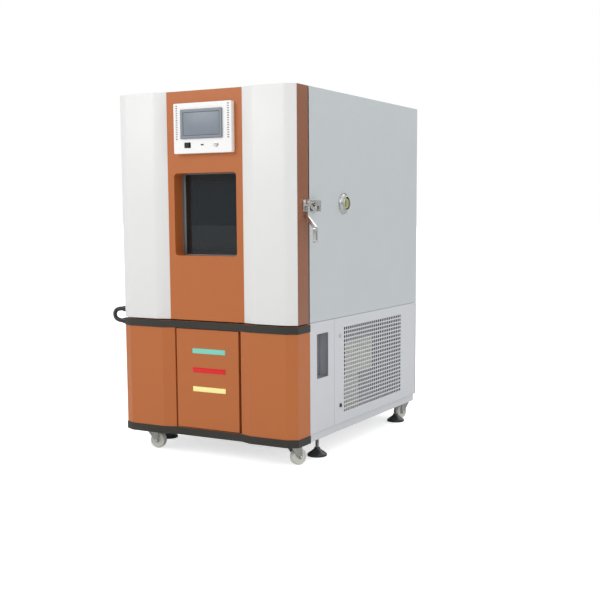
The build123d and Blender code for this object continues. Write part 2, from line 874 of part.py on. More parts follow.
def front_block(x, width, height, y0, y1):
    # a block in the line of switches, seen from the front as width by height
    return block(x - width / 2, x + width / 2, y0, y1, switch_z - height / 2, switch_z + height / 2)


def control_housing():
    x0, x1 = housing_offset - housing_width / 2, housing_offset + housing_width / 2
    z0, z1 = housing_floor, housing_floor + housing_height
    body = block(x0, x1, housing_front, recess_depth, z0, z1)
    body = fillet(body.edges().filter_by(Axis.Y), 5)
    body = fillet(body.faces().sort_by(Axis.Y)[0].edges(), 1.5)
    body -= block(
        x0 + housing_wall, x1 - housing_wall, housing_front + housing_wall, recess_depth + 1,
        z0 + housing_wall, z1 - housing_wall,
    )
    front, back = housing_front - 1, housing_front + housing_wall + 1
    body -= block(
        screen_offset - screen_width / 2 + 6, screen_offset + screen_width / 2 - 6, front, back,
        screen_floor + 6, screen_floor + screen_height - 6,
    )
    for side in (-1, 1):
        middle = housing_offset + side * (housing_width / 2 - vent_inset)
        a, b = middle - vent_length / 2, middle + vent_length / 2
        for i in range(vent_count):
            z = vent_floor + i * vent_pitch
            body -= block(a, b, front, back, z, z + vent_height)
    body -= front_block(rocker_x, rocker_width - 4, rocker_height - 4, front, back)
    body -= front_block(socket_x, socket_width, socket_height, front, back)
    return body - rod("y", collar_radius - 2, front, back, button_x, switch_z)


def touch_screen():
    x0, x1 = screen_offset - screen_width / 2, screen_offset + screen_width / 2
    z0, z1 = screen_floor, screen_floor + screen_height
    front = housing_front - screen_proud
    frame = block(x0, x1, front, housing_front, z0, z1)
    frame = chamfer(frame.faces().sort_by(Axis.Y)[0].edges(), 2)
    body = block(x0 + 6, x1 - 6, housing_front, housing_front + 15, z0 + 6, z1 - 6)
    glass = block(
        screen_offset - glass_width / 2, screen_offset + glass_width / 2, front + 1, front + 3,
        z0 + glass_rise, z0 + glass_rise + glass_height,
    )
    hollow = block(
        screen_offset - glass_width / 2, screen_offset + glass_width / 2, front - 1, front + 3,
        z0 + glass_rise, z0 + glass_rise + glass_height,
    )
    return [frame + body - hollow, glass]


def panel_fittings():
    # rocker frame, data socket and the collar of the push button
    face, front = housing_front, housing_front - fitting_proud
    frame = front_block(rocker_x, rocker_width, rocker_height, front, face)
    frame += front_block(rocker_x, rocker_width - 4, rocker_height - 4, face, face + 14)
    hollow = front_block(
        rocker_x, rocker_width - 2 * rocker_rim, rocker_height - 2 * rocker_rim, front - 1, face + 12
    )
    pin = rod("z", rocker_pin + fit, rocker_floor - 1.2, rocker_top + 1.2, rocker_x, rocker_axis_y)
    socket = front_block(socket_x, socket_width, socket_height, face, face + 12)
    socket -= front_block(socket_x, socket_width - 1.2, socket_height - 1.2, face - 1, face + 10)
    socket += front_block(socket_x, socket_width - 3.2, 1.2, face + 2, face + 10.5)
    collar = rod("y", collar_radius, front, face, button_x, switch_z)
    collar += rod("y", collar_radius - 2, face, face + 14, button_x, switch_z)
    collar -= rod("y", button_radius + fit, front - 1, face + 12, button_x, switch_z)
    return [frame - hollow - pin, socket, collar]


rocker_swing = 7
rocker_pin = 1.2
rocker_axis_y = housing_front + 5
rocker_floor = switch_z - rocker_height / 2 + rocker_rim + air
rocker_top = switch_z + rocker_height / 2 - rocker_rim - air


def rocker_switch():
    # paddle that tips left and right about its upright pin
    w = rocker_width / 2 - rocker_rim - 1.4
    points = [(-w, -7), (0, -4.6), (w, -7), (w - 1, -2), (3, 0), (-3, 0), (-w + 1, -2)]
    face = make_face(Polyline(*points, close=True))
    paddle = Rot(0, 0, -rocker_swing) * extrude(face, rocker_top - rocker_floor)
    pin = rod("z", rocker_pin, rocker_floor - 1, rocker_top + 1, rocker_x, rocker_axis_y)
    return Pos(rocker_x, rocker_axis_y, rocker_floor) * paddle + pin


def push_button():
    low = housing_front - fitting_proud - button_travel - 1
    cap = rod("y", button_radius, low, housing_front + 11 - button_travel, button_x, switch_z)
    return chamfer(cap.faces().sort_by(Axis.Y)[0].edges(), 0.8)


# Latch: base on the door's side, lever with its hook, keeper with its roller on the cabinet

latch_face = half_width + latch_plate
hook_x0, hook_x1 = latch_face + 4, latch_face + 4 + lever_thickness


def latch_base():
    plate = block(half_width, latch_face, latch_y - 22, latch_y + 20, latch_z - 31, latch_z + 12)
    plate = fillet(plate.edges().filter_by(Axis.X), 4)
    plate += rod("x", 13, latch_face, latch_face + 4 - air, latch_y, latch_z)
    plate += rod("x", 5, latch_face, hook_x1 + 2, latch_y, latch_z)
    plate += rod("x", 8, hook_x1 + air, hook_x1 + 4, latch_y, latch_z)
    return plate


def in_side_view(face, x0, x1):
    # a face drawn in y and z, made solid from x0 to x1
    turned = Rot(0, 0, 90) * Rot(90, 0, 0) * face
    return Pos(x0, 0, 0) * extrude(turned, x1 - x0, dir=(1, 0, 0))


def polar(radius, angle):
    return radius * cos(radians(angle)), radius * sin(radians(angle))


def latch_lever():
    reach = roller_y - latch_y
    inner = reach + roller_radius + hook_gap
    hub = rod("x", 13, hook_x0, hook_x1, latch_y, latch_z)
    low_angle, high_angle = -31, -9
    arc = make_face(
        [
            CenterArc((0, 0), inner + hook_width, low_angle, high_angle - low_angle),
            CenterArc((0, 0), inner, low_angle, high_angle - low_angle),
            PolarLine(polar(inner, low_angle), hook_width, low_angle),
            PolarLine(polar(inner, high_angle), hook_width, high_angle),
        ]
    )
    arm = Rot(0, 0, low_angle + 4) * Pos((inner + 2) / 2, 0) * Rectangle(inner + 2, 9)
    hook = Pos(0, latch_y, latch_z) * in_side_view(arc + arm, hook_x0, hook_x1)
    y0, y1 = latch_y - lever_width / 2, latch_y + lever_width / 2
    shank = Polyline(
        (hook_x0, latch_z), (hook_x1, latch_z), (hook_x1 - 3, knee_z + 2), (grip_x + 5, grip_top + 2),
        (grip_x + 5, grip_top - 6), (grip_x - 5, grip_top - 6), (knee_x, knee_z - 4),
        (knee_x, knee_z + 2), (hook_x0, knee_z + 8), close=True,
    )
    lever = Pos(0, y1, 0) * extrude(Rot(90, 0, 0) * make_face(shank), y1 - y0)
    side = grip_width / 2
    grip = block(grip_x - 5, grip_x + 5, latch_y - side, latch_y + side, grip_floor, grip_top)
    grip = fillet(grip.edges().filter_by(Axis.X), 6)
    grip -= block(grip_x - 6, grip_x + 6, latch_y - 4, latch_y + 4, grip_floor + 10, grip_top - 12)
    lever = hub + hook + lever + grip
    return lever - rod("x", 5 + fit, hook_x0 - 1, hook_x1 + 1, latch_y, latch_z)


def latch_keeper():
    z0, z1 = latch_z - 31, latch_z + 12
    outer = hook_x1 + 4
    back = roller_y + roller_radius + hook_gap + hook_width + 5
    end = back + keeper_wall
    plate = block(half_width, latch_face, front_plane + 3, end, z0, z1)
    plate += block(latch_face, outer + 3, back, end, z0, z1)
    plate += block(outer, outer + 3, roller_y - 10, back + 1, latch_z - 10, z1)
    plate = fillet(plate.edges().filter_by(Axis.X), 2)
    plate += rod("x", 3, latch_face, outer, roller_y, latch_z)
    roller = rod("x", roller_radius, latch_face + 1, outer - 1, roller_y, latch_z)
    roller -= rod("x", 3 + fit, latch_face, outer, roller_y, latch_z)
    return [plate, roller]


# Hinges

hinge_x = -half_width - hinge_offset
hinge_y = door_depth + gasket_gap / 2


def hinge_half(z, side, low, high):
    # leaf on the left side with one knuckle; side is -1 for the door and 1 for the cabinet
    a, b = sorted((hinge_y + side * 6, hinge_y + side * (6 + leaf_length)))
    leaf = block(-half_width - 3, -half_width, a, b, z, z + 3 * knuckle)
    c, d = sorted((hinge_y, hinge_y + side * 10))
    web = block(hinge_x, -half_width, c, d, low, high)
    return leaf + web + rod("z", knuckle_radius, low, high, hinge_x, hinge_y)


def door_hinge_leaves():
    leaves = []
    for z in hinge_heights:
        low, high = z + knuckle + air / 2, z + 2 * knuckle - air / 2
        leaf = hinge_half(z, -1, low, high)
        leaves.append(leaf - rod("z", hinge_pin + fit, low - 1, high + 1, hinge_x, hinge_y))
    return leaves


def cabinet_hinges():
    pieces = []
    for z in hinge_heights:
        lower = hinge_half(z, 1, z, z + knuckle - air / 2)
        upper = hinge_half(z, 1, z + 2 * knuckle + air / 2, z + 3 * knuckle)
        pin = rod("z", hinge_pin, z - 3, z + 3 * knuckle + 3, hinge_x, hinge_y)
        pieces.append(lower + upper + pin)
    x, y = service_axis_x, service_axis_y
    for low, high, pin_low, pin_high in (
        (deck, deck + 1, deck, side_low + 12),
        (lower_height - 1, lower_height, side_high - 12, lower_height),
    ):
        plate = block(x - 12, x + 5, y - 8, y + 4, low, high)
        pieces.append(plate + rod("z", service_pin, pin_low, pin_high, x, y))
    x, y = bay_axis_x, bay_axis_y
    for low, high, pin_low, pin_high in (
        (low_band_height, low_band_height + 1, low_band_height, bay_low + 10),
        (fascia_top - 1, fascia_top, bay_high - 10, fascia_top),
    ):
        plate = block(x - 7, x + 8, y - 6, y + 6, low, high)
        pieces.append(plate + rod("z", bay_pin, pin_low, pin_high, x, y))
    return pieces


# Conduit on the left, from the band below the door to the door beside its hinge

def gland(x, z):
    body = rod("x", 13, x - 5, x, conduit_y, z)
    body += rod("x", 11.5, x - gland_length + 6, x - 5, conduit_y, z)
    return body + rod("x", 10, x - gland_length, x - gland_length + 6, conduit_y, z)


def conduit_route():
    out = -half_width - conduit_reach + conduit_radius
    low_end = -half_width - band_proud - gland_length
    high_end = -half_width - gland_length
    return [
        (low_end, conduit_y, conduit_low), (out, conduit_y, conduit_low),
        (out, conduit_y, conduit_high), (high_end, conduit_y, conduit_high),
    ]


def wiring_conduit():
    points = conduit_route()
    radius = 0.498 * (conduit_high - conduit_low)
    path = FilletPolyline(*points, radius=radius)
    section = Plane(origin=points[0], z_dir=(-1, 0, 0)) * Circle(conduit_radius)
    return sweep(section, path=path)


save("base_frame", base_frame(), *caster_plates())
for side, x in (("left", caster_x[0]), ("right", caster_x[1])):
    which = 0 if side == "left" else 1
    for end, y, turns in (("front", caster_y[0], front_turns), ("rear", caster_y[1], rear_turns)):
        save(f"caster_fork_{end}_{side}", caster_fork(x, y, turns[which]))
        save(f"caster_wheel_{end}_{side}", caster_wheel(x, y, turns[which]))
for side, sign in (("left", -1), ("right", 1)):
    for end, y in (("front", foot_y[0]), ("rear", foot_y[1])):
        save(f"levelling_foot_{end}_{side}", levelling_foot(sign * foot_x, y))

save("upper_casing", upper_casing())
save("rear_panels", *rear_panels())
save("left_lower_panel", left_lower_panel())
save("right_front_panel", right_front_panel() + strike_flange())
save("front_frame", front_frame())
save("insulation", insulation())
save("inner_liner", inner_liner(), *shelf_rails())
save("wire_shelves", *[wire_shelf(level) for level in shelf_levels])
save("air_baffle", air_baffle())
save("circulation_fan", circulation_fan())
save("fan_motor", fan_motor())
save("conditioning_coils", *conditioning_coils())
save("port_flange", port_flange_tube())
save("port_plug", port_plug())

save("trim_bands", *trim_bands())
save("lower_fascia", lower_fascia())
save("lower_door", lower_door())
save("colour_bars", *colour_bars())
save("water_tank", water_tank())
save("service_door", service_door())
save("cam_lock_lower", cam_lock(cam_heights[0]))
save("cam_lock_upper", cam_lock(cam_heights[1]))
save("compressor", compressor())
save("condenser", condenser())
save("condenser_fan", condenser_fan())
save("electrical_box", electrical_box())

save("door_shell", door_shell())
save("front_panels", *front_panels())
save("door_centre_panel", door_centre_panel())
save("door_insulation", door_insulation())
save("door_inner_panel", door_inner_panel())
save("door_gasket", door_gasket())
save("window_panes", *window_panes())
save("window_frame", window_frame())
save("control_housing", control_housing())
save("touch_screen", *touch_screen())
save("panel_fittings", *panel_fittings())
save("rocker_switch", rocker_switch())
save("push_button", push_button())
save("latch_base", latch_base())
save("latch_lever", latch_lever())
save("latch_keeper", *latch_keeper())
save("door_hinge_leaves", *door_hinge_leaves())
save("cabinet_hinges", *cabinet_hinges())
save("fascia_gland", gland(-half_width - band_proud, conduit_low))
save("door_gland", gland(-half_width, conduit_high))
save("wiring_conduit", wiring_conduit())
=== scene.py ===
from math import cos, pi, radians, sin

import bmesh
import bpy
from mathutils import Matrix, Vector


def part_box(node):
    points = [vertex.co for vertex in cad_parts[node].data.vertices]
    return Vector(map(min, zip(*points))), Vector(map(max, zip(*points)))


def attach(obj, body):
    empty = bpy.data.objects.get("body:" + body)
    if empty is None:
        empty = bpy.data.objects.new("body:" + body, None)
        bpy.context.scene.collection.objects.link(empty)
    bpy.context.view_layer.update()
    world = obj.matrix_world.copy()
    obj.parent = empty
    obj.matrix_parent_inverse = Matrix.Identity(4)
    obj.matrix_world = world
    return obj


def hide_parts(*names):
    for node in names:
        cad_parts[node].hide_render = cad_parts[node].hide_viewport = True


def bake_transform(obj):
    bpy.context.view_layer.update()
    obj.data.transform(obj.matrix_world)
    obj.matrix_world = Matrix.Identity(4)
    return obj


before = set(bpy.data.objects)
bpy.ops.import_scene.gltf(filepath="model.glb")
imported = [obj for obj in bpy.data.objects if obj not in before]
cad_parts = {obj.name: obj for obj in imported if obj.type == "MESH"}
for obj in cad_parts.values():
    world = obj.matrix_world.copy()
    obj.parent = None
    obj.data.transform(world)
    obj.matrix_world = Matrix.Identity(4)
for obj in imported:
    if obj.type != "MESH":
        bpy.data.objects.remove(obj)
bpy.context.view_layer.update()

scene = bpy.context.scene
mm = 0.001
print("stage: frame loaded", len(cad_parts), "nodes")


# Camera, at the photograph's place and angle, for a picture of 600 x 600
camera = {
    "place": (2.2355, -3.7913, 0.9522),
    "azimuth": 28.718,
    "down": 6.778,
    "roll": -0.268,
    "lens": 61.316,      # 1021.9 pixels of focal length on a 36 mm sensor
    "shiftX": -0.01883,
    "shiftY": 0.05605,
}


def makeCamera():
    azimuth, down, roll = (radians(camera[k]) for k in ("azimuth", "down", "roll"))
    forward = Vector((-sin(azimuth) * cos(down), cos(azimuth) * cos(down), -sin(down)))
    level = Vector((cos(azimuth), sin(azimuth), 0))
    upright = level.cross(forward)
    right = level * cos(roll) + upright * sin(roll)
    up = upright * cos(roll) - level * sin(roll)
    data = bpy.data.cameras.new("photoCamera")
    data.lens, data.sensor_width = camera["lens"], 36
    data.shift_x, data.shift_y = camera["shiftX"], camera["shiftY"]
    data.clip_end = 200
    obj = bpy.data.objects.new("photoCamera", data)
    scene.collection.objects.link(obj)
    turn = Matrix((right, up, -forward)).transposed().to_4x4()
    obj.matrix_world = Matrix.Translation(camera["place"]) @ turn
    scene.camera = obj


makeCamera()


# Node and colour helpers
def linear(value):
    return value / 12.92 if value <= 0.04045 else ((value + 0.055) / 1.055) ** 2.4


def colour(text):
    return [linear(int(text[i:i + 2], 16) / 255) for i in (1, 3, 5)] + [1.0]


def addNode(tree, kind, settings=None, links=None):
    # settings are properties or input values, links are input name to output socket
    node = tree.nodes.new(kind)
    for key, value in (settings or {}).items():
        if isinstance(key, int) or key in node.inputs:
            node.inputs[key].default_value = value
        else:
            setattr(node, key, value)
    for key, socket in (links or {}).items():
        tree.links.new(socket, node.inputs[key])
    return node


def newMaterial(name, settings):
    material = bpy.data.materials.new(name)
    material.use_nodes = True
    tree = material.node_tree
    shader = tree.nodes["Principled BSDF"]
    for key, value in settings.items():
        shader.inputs[key].default_value = value
    return material, tree, shader


def objectPlace(tree, scale=(1, 1, 1), turn=(0, 0, 0)):
    coords = addNode(tree, "ShaderNodeTexCoord")
    mapping = addNode(
        tree, "ShaderNodeMapping", {"Scale": scale, "Rotation": turn}, {"Vector": coords.outputs["Object"]}
    )
    return mapping.outputs["Vector"]


def noiseAt(tree, sizeMm, detail=2.0, scale=(1, 1, 1)):
    # noise whose blotches are about sizeMm across
    return addNode(
        tree, "ShaderNodeTexNoise", {"Scale": 1000 / sizeMm, "Detail": detail, "Roughness": 0.55},
        {"Vector": objectPlace(tree, scale)},
    ).outputs["Fac"]


def spread(tree, fac, low, high):
    return addNode(
        tree, "ShaderNodeMapRange", {"To Min": low, "To Max": high, "From Min": 0.3, "From Max": 0.7},
        {"Value": fac},
    ).outputs["Result"]


def between(tree, fac, first, second):
    mix = addNode(tree, "ShaderNodeMix", {"data_type": "RGBA"})
    mix.inputs[6].default_value, mix.inputs[7].default_value = colour(first), colour(second)
    tree.links.new(fac, mix.inputs[0])
    return mix.outputs[2]


def bumped(tree, shader, height, depthMm, edgeMm=0.0, strength=1.0):
    links = {"Height": height}
    if edgeMm:
        soft = addNode(tree, "ShaderNodeBevel", {"samples": 6, "Radius": edgeMm * mm})
        links["Normal"] = soft.outputs["Normal"]
    bump = addNode(tree, "ShaderNodeBump", {"Strength": strength, "Distance": depthMm * mm}, links)
    tree.links.new(bump.outputs["Normal"], shader.inputs["Normal"])


# Materials, each named for the real one or for the painted light or shade that a copy carries
def paintedSteel(name, base, shade, roughness, peelMm, edgeMm=1.5, coat=0.0):
    # sprayed paint: a fine orange peel, slightly uneven gloss, folded edges of the sheet are round
    material, tree, shader = newMaterial(
        name, {"Roughness": roughness, "Coat Weight": coat, "Coat Roughness": 0.08}
    )
    cloud = noiseAt(tree, 260, 3)
    tree.links.new(between(tree, cloud, base, shade), shader.inputs["Base Color"])
    gloss = spread(tree, noiseAt(tree, 90, 4), roughness * 0.85, roughness * 1.15)
    tree.links.new(gloss, shader.inputs["Roughness"])
    bumped(tree, shader, noiseAt(tree, peelMm, 1.5), 0.05, edgeMm)
    return material


def brushedSteel(name, base, roughness, grain, edgeMm=0.8):
    # cold-rolled stainless sheet, belt-ground in one direction: streaks drawn 1.2 mm apart to show
    material, tree, shader = newMaterial(name, {"Metallic": 1.0, "Roughness": roughness})
    streaks = noiseAt(tree, 1.2, 2, grain)
    tree.links.new(between(tree, streaks, base, "#A9ABAC"), shader.inputs["Base Color"])
    tree.links.new(spread(tree, streaks, roughness * 0.8, roughness * 1.35), shader.inputs["Roughness"])
    bumped(tree, shader, streaks, 0.02, edgeMm)
    return material


def castChrome():
    # polished and chromed zinc casting: bright, with the slow waves of a hand-polished casting
    material, tree, shader = newMaterial(
        "chromedCasting", {"Metallic": 1.0, "Base Color": colour("#DCDCDA"), "Roughness": 0.13}
    )
    tree.links.new(spread(tree, noiseAt(tree, 14, 3), 0.09, 0.24), shader.inputs["Roughness"])
    bumped(tree, shader, noiseAt(tree, 9, 2), 0.12, 0.8)
    return material


def zincPlate():
    # galvanised pressed steel: dull grey with spangles a few millimetres wide
    material, tree, shader = newMaterial("zincPlatedSteel", {"Metallic": 0.85, "Roughness": 0.36})
    cells = addNode(tree, "ShaderNodeTexVoronoi", {"Scale": 190}, {"Vector": objectPlace(tree)})
    grey = addNode(tree, "ShaderNodeSeparateColor", {}, {"Color": cells.outputs["Color"]})
    tree.links.new(between(tree, grey.outputs["Red"], "#8E908D", "#ADAEAA"), shader.inputs["Base Color"])
    bumped(tree, shader, noiseAt(tree, 3, 2), 0.05, 0.5)
    return material


def mouldedPlastic(name, base, roughness, grainMm=0.8, depthMm=0.04, edgeMm=0.6):
    # injection moulding: a fine spark-eroded grain with softened edges
    material, tree, shader = newMaterial(name, {"Base Color": colour(base), "Roughness": roughness})
    bumped(tree, shader, noiseAt(tree, grainMm, 2), depthMm, edgeMm)
    return material


def sealRubber(name, base, roughness):
    # extruded black rubber: dull, with dusty streaks along it
    material, tree, shader = newMaterial(name, {"Roughness": roughness, "Specular IOR Level": 0.35})
    tree.links.new(between(tree, noiseAt(tree, 12, 4), base, "#3A3D3D"), shader.inputs["Base Color"])
    bumped(tree, shader, noiseAt(tree, 1.5, 3), 0.06, 0.6)
    return material


def siliconePlug():
    # cast silicone foam rubber: soft, slightly see-through, greenish yellow
    material, tree, shader = newMaterial(
        "siliconeRubber",
        {"Base Color": colour("#C6C98C"), "Roughness": 0.42, "Subsurface Weight": 0.35,
         "Subsurface Scale": 0.004, "Subsurface Radius": (1.0, 0.9, 0.4)},
    )
    tree.links.new(between(tree, noiseAt(tree, 6, 3), "#7F8246", "#DADCAE"), shader.inputs["Base Color"])
    bumped(tree, shader, noiseAt(tree, 2.5, 3), 0.3, 1.0)
    return material


def clearGlass():
    # toughened float glass with a conductive heating film: dark blue-grey, mirror smooth
    return newMaterial(
        "coatedGlass",
        {"Base Color": colour("#56626A"), "Roughness": 0.015, "Transmission Weight": 0.88, "IOR": 1.5,
         "Specular IOR Level": 0.3},
    )[0]


def displayGlass():
    # matt touch film over an unlit display: its blue-grey and the paler blotches about 70 mm across are
    # painted reflection of the room
    material, tree, shader = newMaterial(
        "touchFilm", {"Roughness": 0.42, "Coat Weight": 0.2, "Coat Roughness": 0.3}
    )
    tree.links.new(between(tree, noiseAt(tree, 70, 1), "#79828B", "#848C97"), shader.inputs["Base Color"])
    bumped(tree, shader, noiseAt(tree, 1.0, 1), 0.01)
    return material


def polyurethaneFoam():
    # foamed-in insulation: yellow, open cells about 2 mm wide at a cut face
    material, tree, shader = newMaterial("polyurethaneFoam", {"Roughness": 0.9})
    cells = addNode(tree, "ShaderNodeTexVoronoi", {"Scale": 450}, {"Vector": objectPlace(tree)})
    tint = between(tree, cells.outputs["Distance"], "#E4D9A8", "#CDBB7C")
    tree.links.new(tint, shader.inputs["Base Color"])
    bumped(tree, shader, cells.outputs["Distance"], 0.5)
    return material


def finPack(name, axis):
    # aluminium fins 2.5 mm apart on copper tubes, drawn 5 mm apart to show as light and dark bands; the dark
    # bands are painted shade in the gaps between the fins
    material, tree, shader = newMaterial(name, {"Metallic": 1.0, "Roughness": 0.38})
    wave = addNode(
        tree, "ShaderNodeTexWave", {"bands_direction": axis, "Scale": 32, "Distortion": 0.3, "Detail": 1.0},
        {"Vector": objectPlace(tree)},
    )
    tree.links.new(between(tree, wave.outputs["Fac"], "#34373A", "#8B8E90"), shader.inputs["Base Color"])
    bumped(tree, shader, wave.outputs["Fac"], 1.2)
    return material


def frostedTank():
    # blow-moulded polyethylene: milky, with faint blotches about 60 mm across
    material, tree, shader = newMaterial(
        "blownPolyethylene", {"Roughness": 0.45, "Subsurface Weight": 0.3, "Subsurface Scale": 0.01}
    )
    tree.links.new(between(tree, noiseAt(tree, 60, 2), "#DADDD6", "#E9EAE4"), shader.inputs["Base Color"])
    bumped(tree, shader, noiseAt(tree, 6, 2), 0.15, 2.0)
    return material


whitePowder = paintedSteel("whitePowderCoat", "#E5E5E4", "#E2E3E2", 0.42, 2.2)
orangePowder = paintedSteel("orangePowderCoat", "#B9672D", "#B56630", 0.42, 2.6)
# the door shell's side strip takes a darker, glossier copy of the orange; the darker colour is painted shade
# of the side faces
shadedOrangeGloss = paintedSteel("shadedOrangeGlossPaint", "#8C4C25", "#86502F", 0.25, 6.0, coat=0.35)
greyPowder = paintedSteel("greyPowderCoat", "#C3C8CB", "#BEC6C8", 0.42, 2.0)
# a lighter copy of the grey powder coat for the lower panels, base frame and service door: painted light of
# the bounce from the floor
bounceLitGreyPowder = paintedSteel("bounceLitGreyPowderCoat", "#CFD1D6", "#CCCFD3", 0.42, 2.0)
blackEnamel = paintedSteel("blackEnamel", "#17181A", "#1E1F20", 0.3, 3.0)
bandRubber = mouldedPlastic("bandNitrile", "#27251F", 0.5, 1.2, 0.08, 1.2)
linerSteel = brushedSteel("linerStainless", "#C4C6C7", 0.27, (1, 1, 0.012))
frameSteel = mouldedPlastic("anodisedAluminium", "#D3D7DA", 0.35, 0.6, 0.02, 0.6)
panSteel = brushedSteel("dampedStainless", "#B9BBBC", 0.34, (0.012, 1, 1))
chrome = castChrome()
polishedSteel = brushedSteel("turnedStainless", "#D5D6D4", 0.2, (1, 1, 1))
zinc = zincPlate()
panelAbs = mouldedPlastic("whiteAbs", "#F4F4F3", 0.32, 0.9, 0.02, 1.2)
beadMetal = mouldedPlastic("anodisedBead", "#7C8183", 0.3, 0.6, 0.02, 0.6)
bezelAbs = mouldedPlastic("silverAbs", "#848B95", 0.33, 0.7, 0.02, 0.8)
switchNylon = mouldedPlastic("blackNylon", "#1B1C1E", 0.34, 0.6, 0.03, 0.5)
creamAbs = mouldedPlastic("creamAbs", "#D9D3B8", 0.5, 1.0, 0.05, 1.5)
wheelNylon = mouldedPlastic("paleNylon", "#D3D4CC", 0.4, 1.6, 0.06, 1.0)
conduitNylon = mouldedPlastic("blackPolyamide", "#2E3133", 0.3, 0.8, 0.02, 0.4)
footRubber = sealRubber("footRubber", "#2A2E30", 0.24)
gasketRubber = sealRubber("gasketSilicone", "#26282A", 0.55)
silicone = siliconePlug()
glass = clearGlass()
touchFilm = displayGlass()
# darker grey for the cup in the side pocket: painted shade of the recess
pocketShadeGrey = mouldedPlastic("pocketShadeGreyPlastic", "#8A8C92", 0.45, 1.0, 0.03, 1.5)
# near-black sheets inside the machine room: painted shade seen through its openings
shadeSheetBlack = sealRubber("machineRoomShadeBlack", "#1F2122", 0.9)
foam = polyurethaneFoam()
condenserFins = finPack("condenserFins", "Y")
coilFins = finPack("evaporatorFins", "X")
tankPlastic = frostedTank()
print("stage: materials made", len(bpy.data.materials))

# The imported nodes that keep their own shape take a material
nodeFinish = {
    "base_frame": bounceLitGreyPowder, "upper_casing": greyPowder, "rear_panels": greyPowder,
    "left_lower_panel": bounceLitGreyPowder, "right_front_panel": bounceLitGreyPowder, "service_door": bounceLitGreyPowder,
    "front_frame": linerSteel, "insulation": foam, "inner_liner": linerSteel, "wire_shelves": chrome,
    "air_baffle": linerSteel, "circulation_fan": panSteel, "fan_motor": blackEnamel,
    "conditioning_coils": coilFins, "port_flange": panSteel, "port_plug": silicone,
    "trim_bands": bandRubber, "lower_fascia": orangePowder, "lower_door": orangePowder,
    "colour_bars": bandRubber, "water_tank": tankPlastic, "cam_lock_lower": blackEnamel,
    "cam_lock_upper": chrome, "compressor": blackEnamel, "condenser": condenserFins,
    "condenser_fan": blackEnamel, "electrical_box": creamAbs, "door_shell": shadedOrangeGloss,
    "front_panels": whitePowder, "door_centre_panel": orangePowder, "door_insulation": foam,
    "door_inner_panel": linerSteel, "door_gasket": gasketRubber, "window_panes": glass,
    "window_frame": frameSteel, "control_housing": panelAbs, "touch_screen": bezelAbs,
    "panel_fittings": switchNylon, "rocker_switch": switchNylon, "push_button": chrome,
    "latch_base": chrome, "latch_lever": chrome, "latch_keeper": chrome, "door_hinge_leaves": chrome,
    "cabinet_hinges": chrome, "fascia_gland": switchNylon, "door_gland": switchNylon,
    "wiring_conduit": conduitNylon,
}
for name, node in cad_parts.items():
    finish = nodeFinish.get(name)
    if name.startswith("caster_fork"):
        finish = zinc
    if name.startswith("caster_wheel"):
        finish = wheelNylon
    if name.startswith("levelling_foot"):
        finish = footRubber
    node.data.materials.clear()
    node.data.materials.append(finish)


# Mesh helpers
def addBox(bm, low, high, bevel=0.0, segments=2):
    made = bmesh.ops.create_cube(bm, size=1)["verts"]
    size = [b - a for a, b in zip(low, high)]
    middle = [(a + b) / 2 for a, b in zip(low, high)]
    bmesh.ops.scale(bm, vec=size, verts=made)
    bmesh.ops.translate(bm, vec=middle, verts=made)
    if bevel:
        edges = list({e for v in made for e in v.link_edges})
        bmesh.ops.bevel(
            bm, geom=edges, offset=bevel, segments=segments, profile=0.5, affect="EDGES", material=-1
        )


def addLathe(bm, profile, centre, axis, steps=48):
    # profile holds (distance along the axis, radius) pairs
    axis = Vector(axis).normalized()
    side = axis.orthogonal().normalized()
    verts = [bm.verts.new(Vector(centre) + axis * along + side * radius) for along, radius in profile]
    edges = [bm.edges.new(pair) for pair in zip(verts, verts[1:])]
    bmesh.ops.spin(
        bm, geom=verts + edges, cent=centre, axis=axis, angle=2 * pi, steps=steps, use_merge=True
    )


def addTube(bm, stations, sides=12):
    # rings of one outline through stations: (centre, direction, half width, half height, sideways)
    ring, last = None, None
    for centre, along, wide, high, across in stations:
        along = Vector(along).normalized()
        across = (Vector(across) - along * along.dot(Vector(across))).normalized()
        turn = Matrix((across, along.cross(across), along)).transposed().to_4x4()
        place = Matrix.Translation(centre) @ turn @ Matrix.Diagonal((wide, high, 1, 1))
        if ring is None:
            made = bmesh.ops.create_circle(bm, cap_ends=True, radius=1, segments=sides)["verts"]
            bmesh.ops.transform(bm, matrix=place, verts=made)
            ring = list({e for v in made for e in v.link_edges})
        else:
            made = bmesh.ops.extrude_edge_only(bm, edges=ring)["geom"]
            verts = [g for g in made if isinstance(g, bmesh.types.BMVert)]
            ring = [g for g in made if isinstance(g, bmesh.types.BMEdge)]
            bmesh.ops.transform(bm, matrix=place @ last.inverted(), verts=verts)
        last = place
    bmesh.ops.contextual_create(bm, geom=ring)


def addRing(bm, low, high, rim):
    # a rectangular frame, open from front to back
    made = bmesh.ops.create_cube(bm, size=1)["verts"]
    bmesh.ops.scale(bm, vec=[b - a for a, b in zip(low, high)], verts=made)
    bmesh.ops.translate(bm, vec=[(a + b) / 2 for a, b in zip(low, high)], verts=made)
    bm.normal_update()
    ends = [f for f in {f for v in made for f in v.link_faces} if abs(f.normal.y) > 0.9]
    bmesh.ops.inset_individual(bm, faces=ends, thickness=rim)
    edges = [e for f in ends for e in f.edges]
    bmesh.ops.delete(bm, geom=ends, context="FACES_ONLY")
    bmesh.ops.bridge_loops(bm, edges=edges)


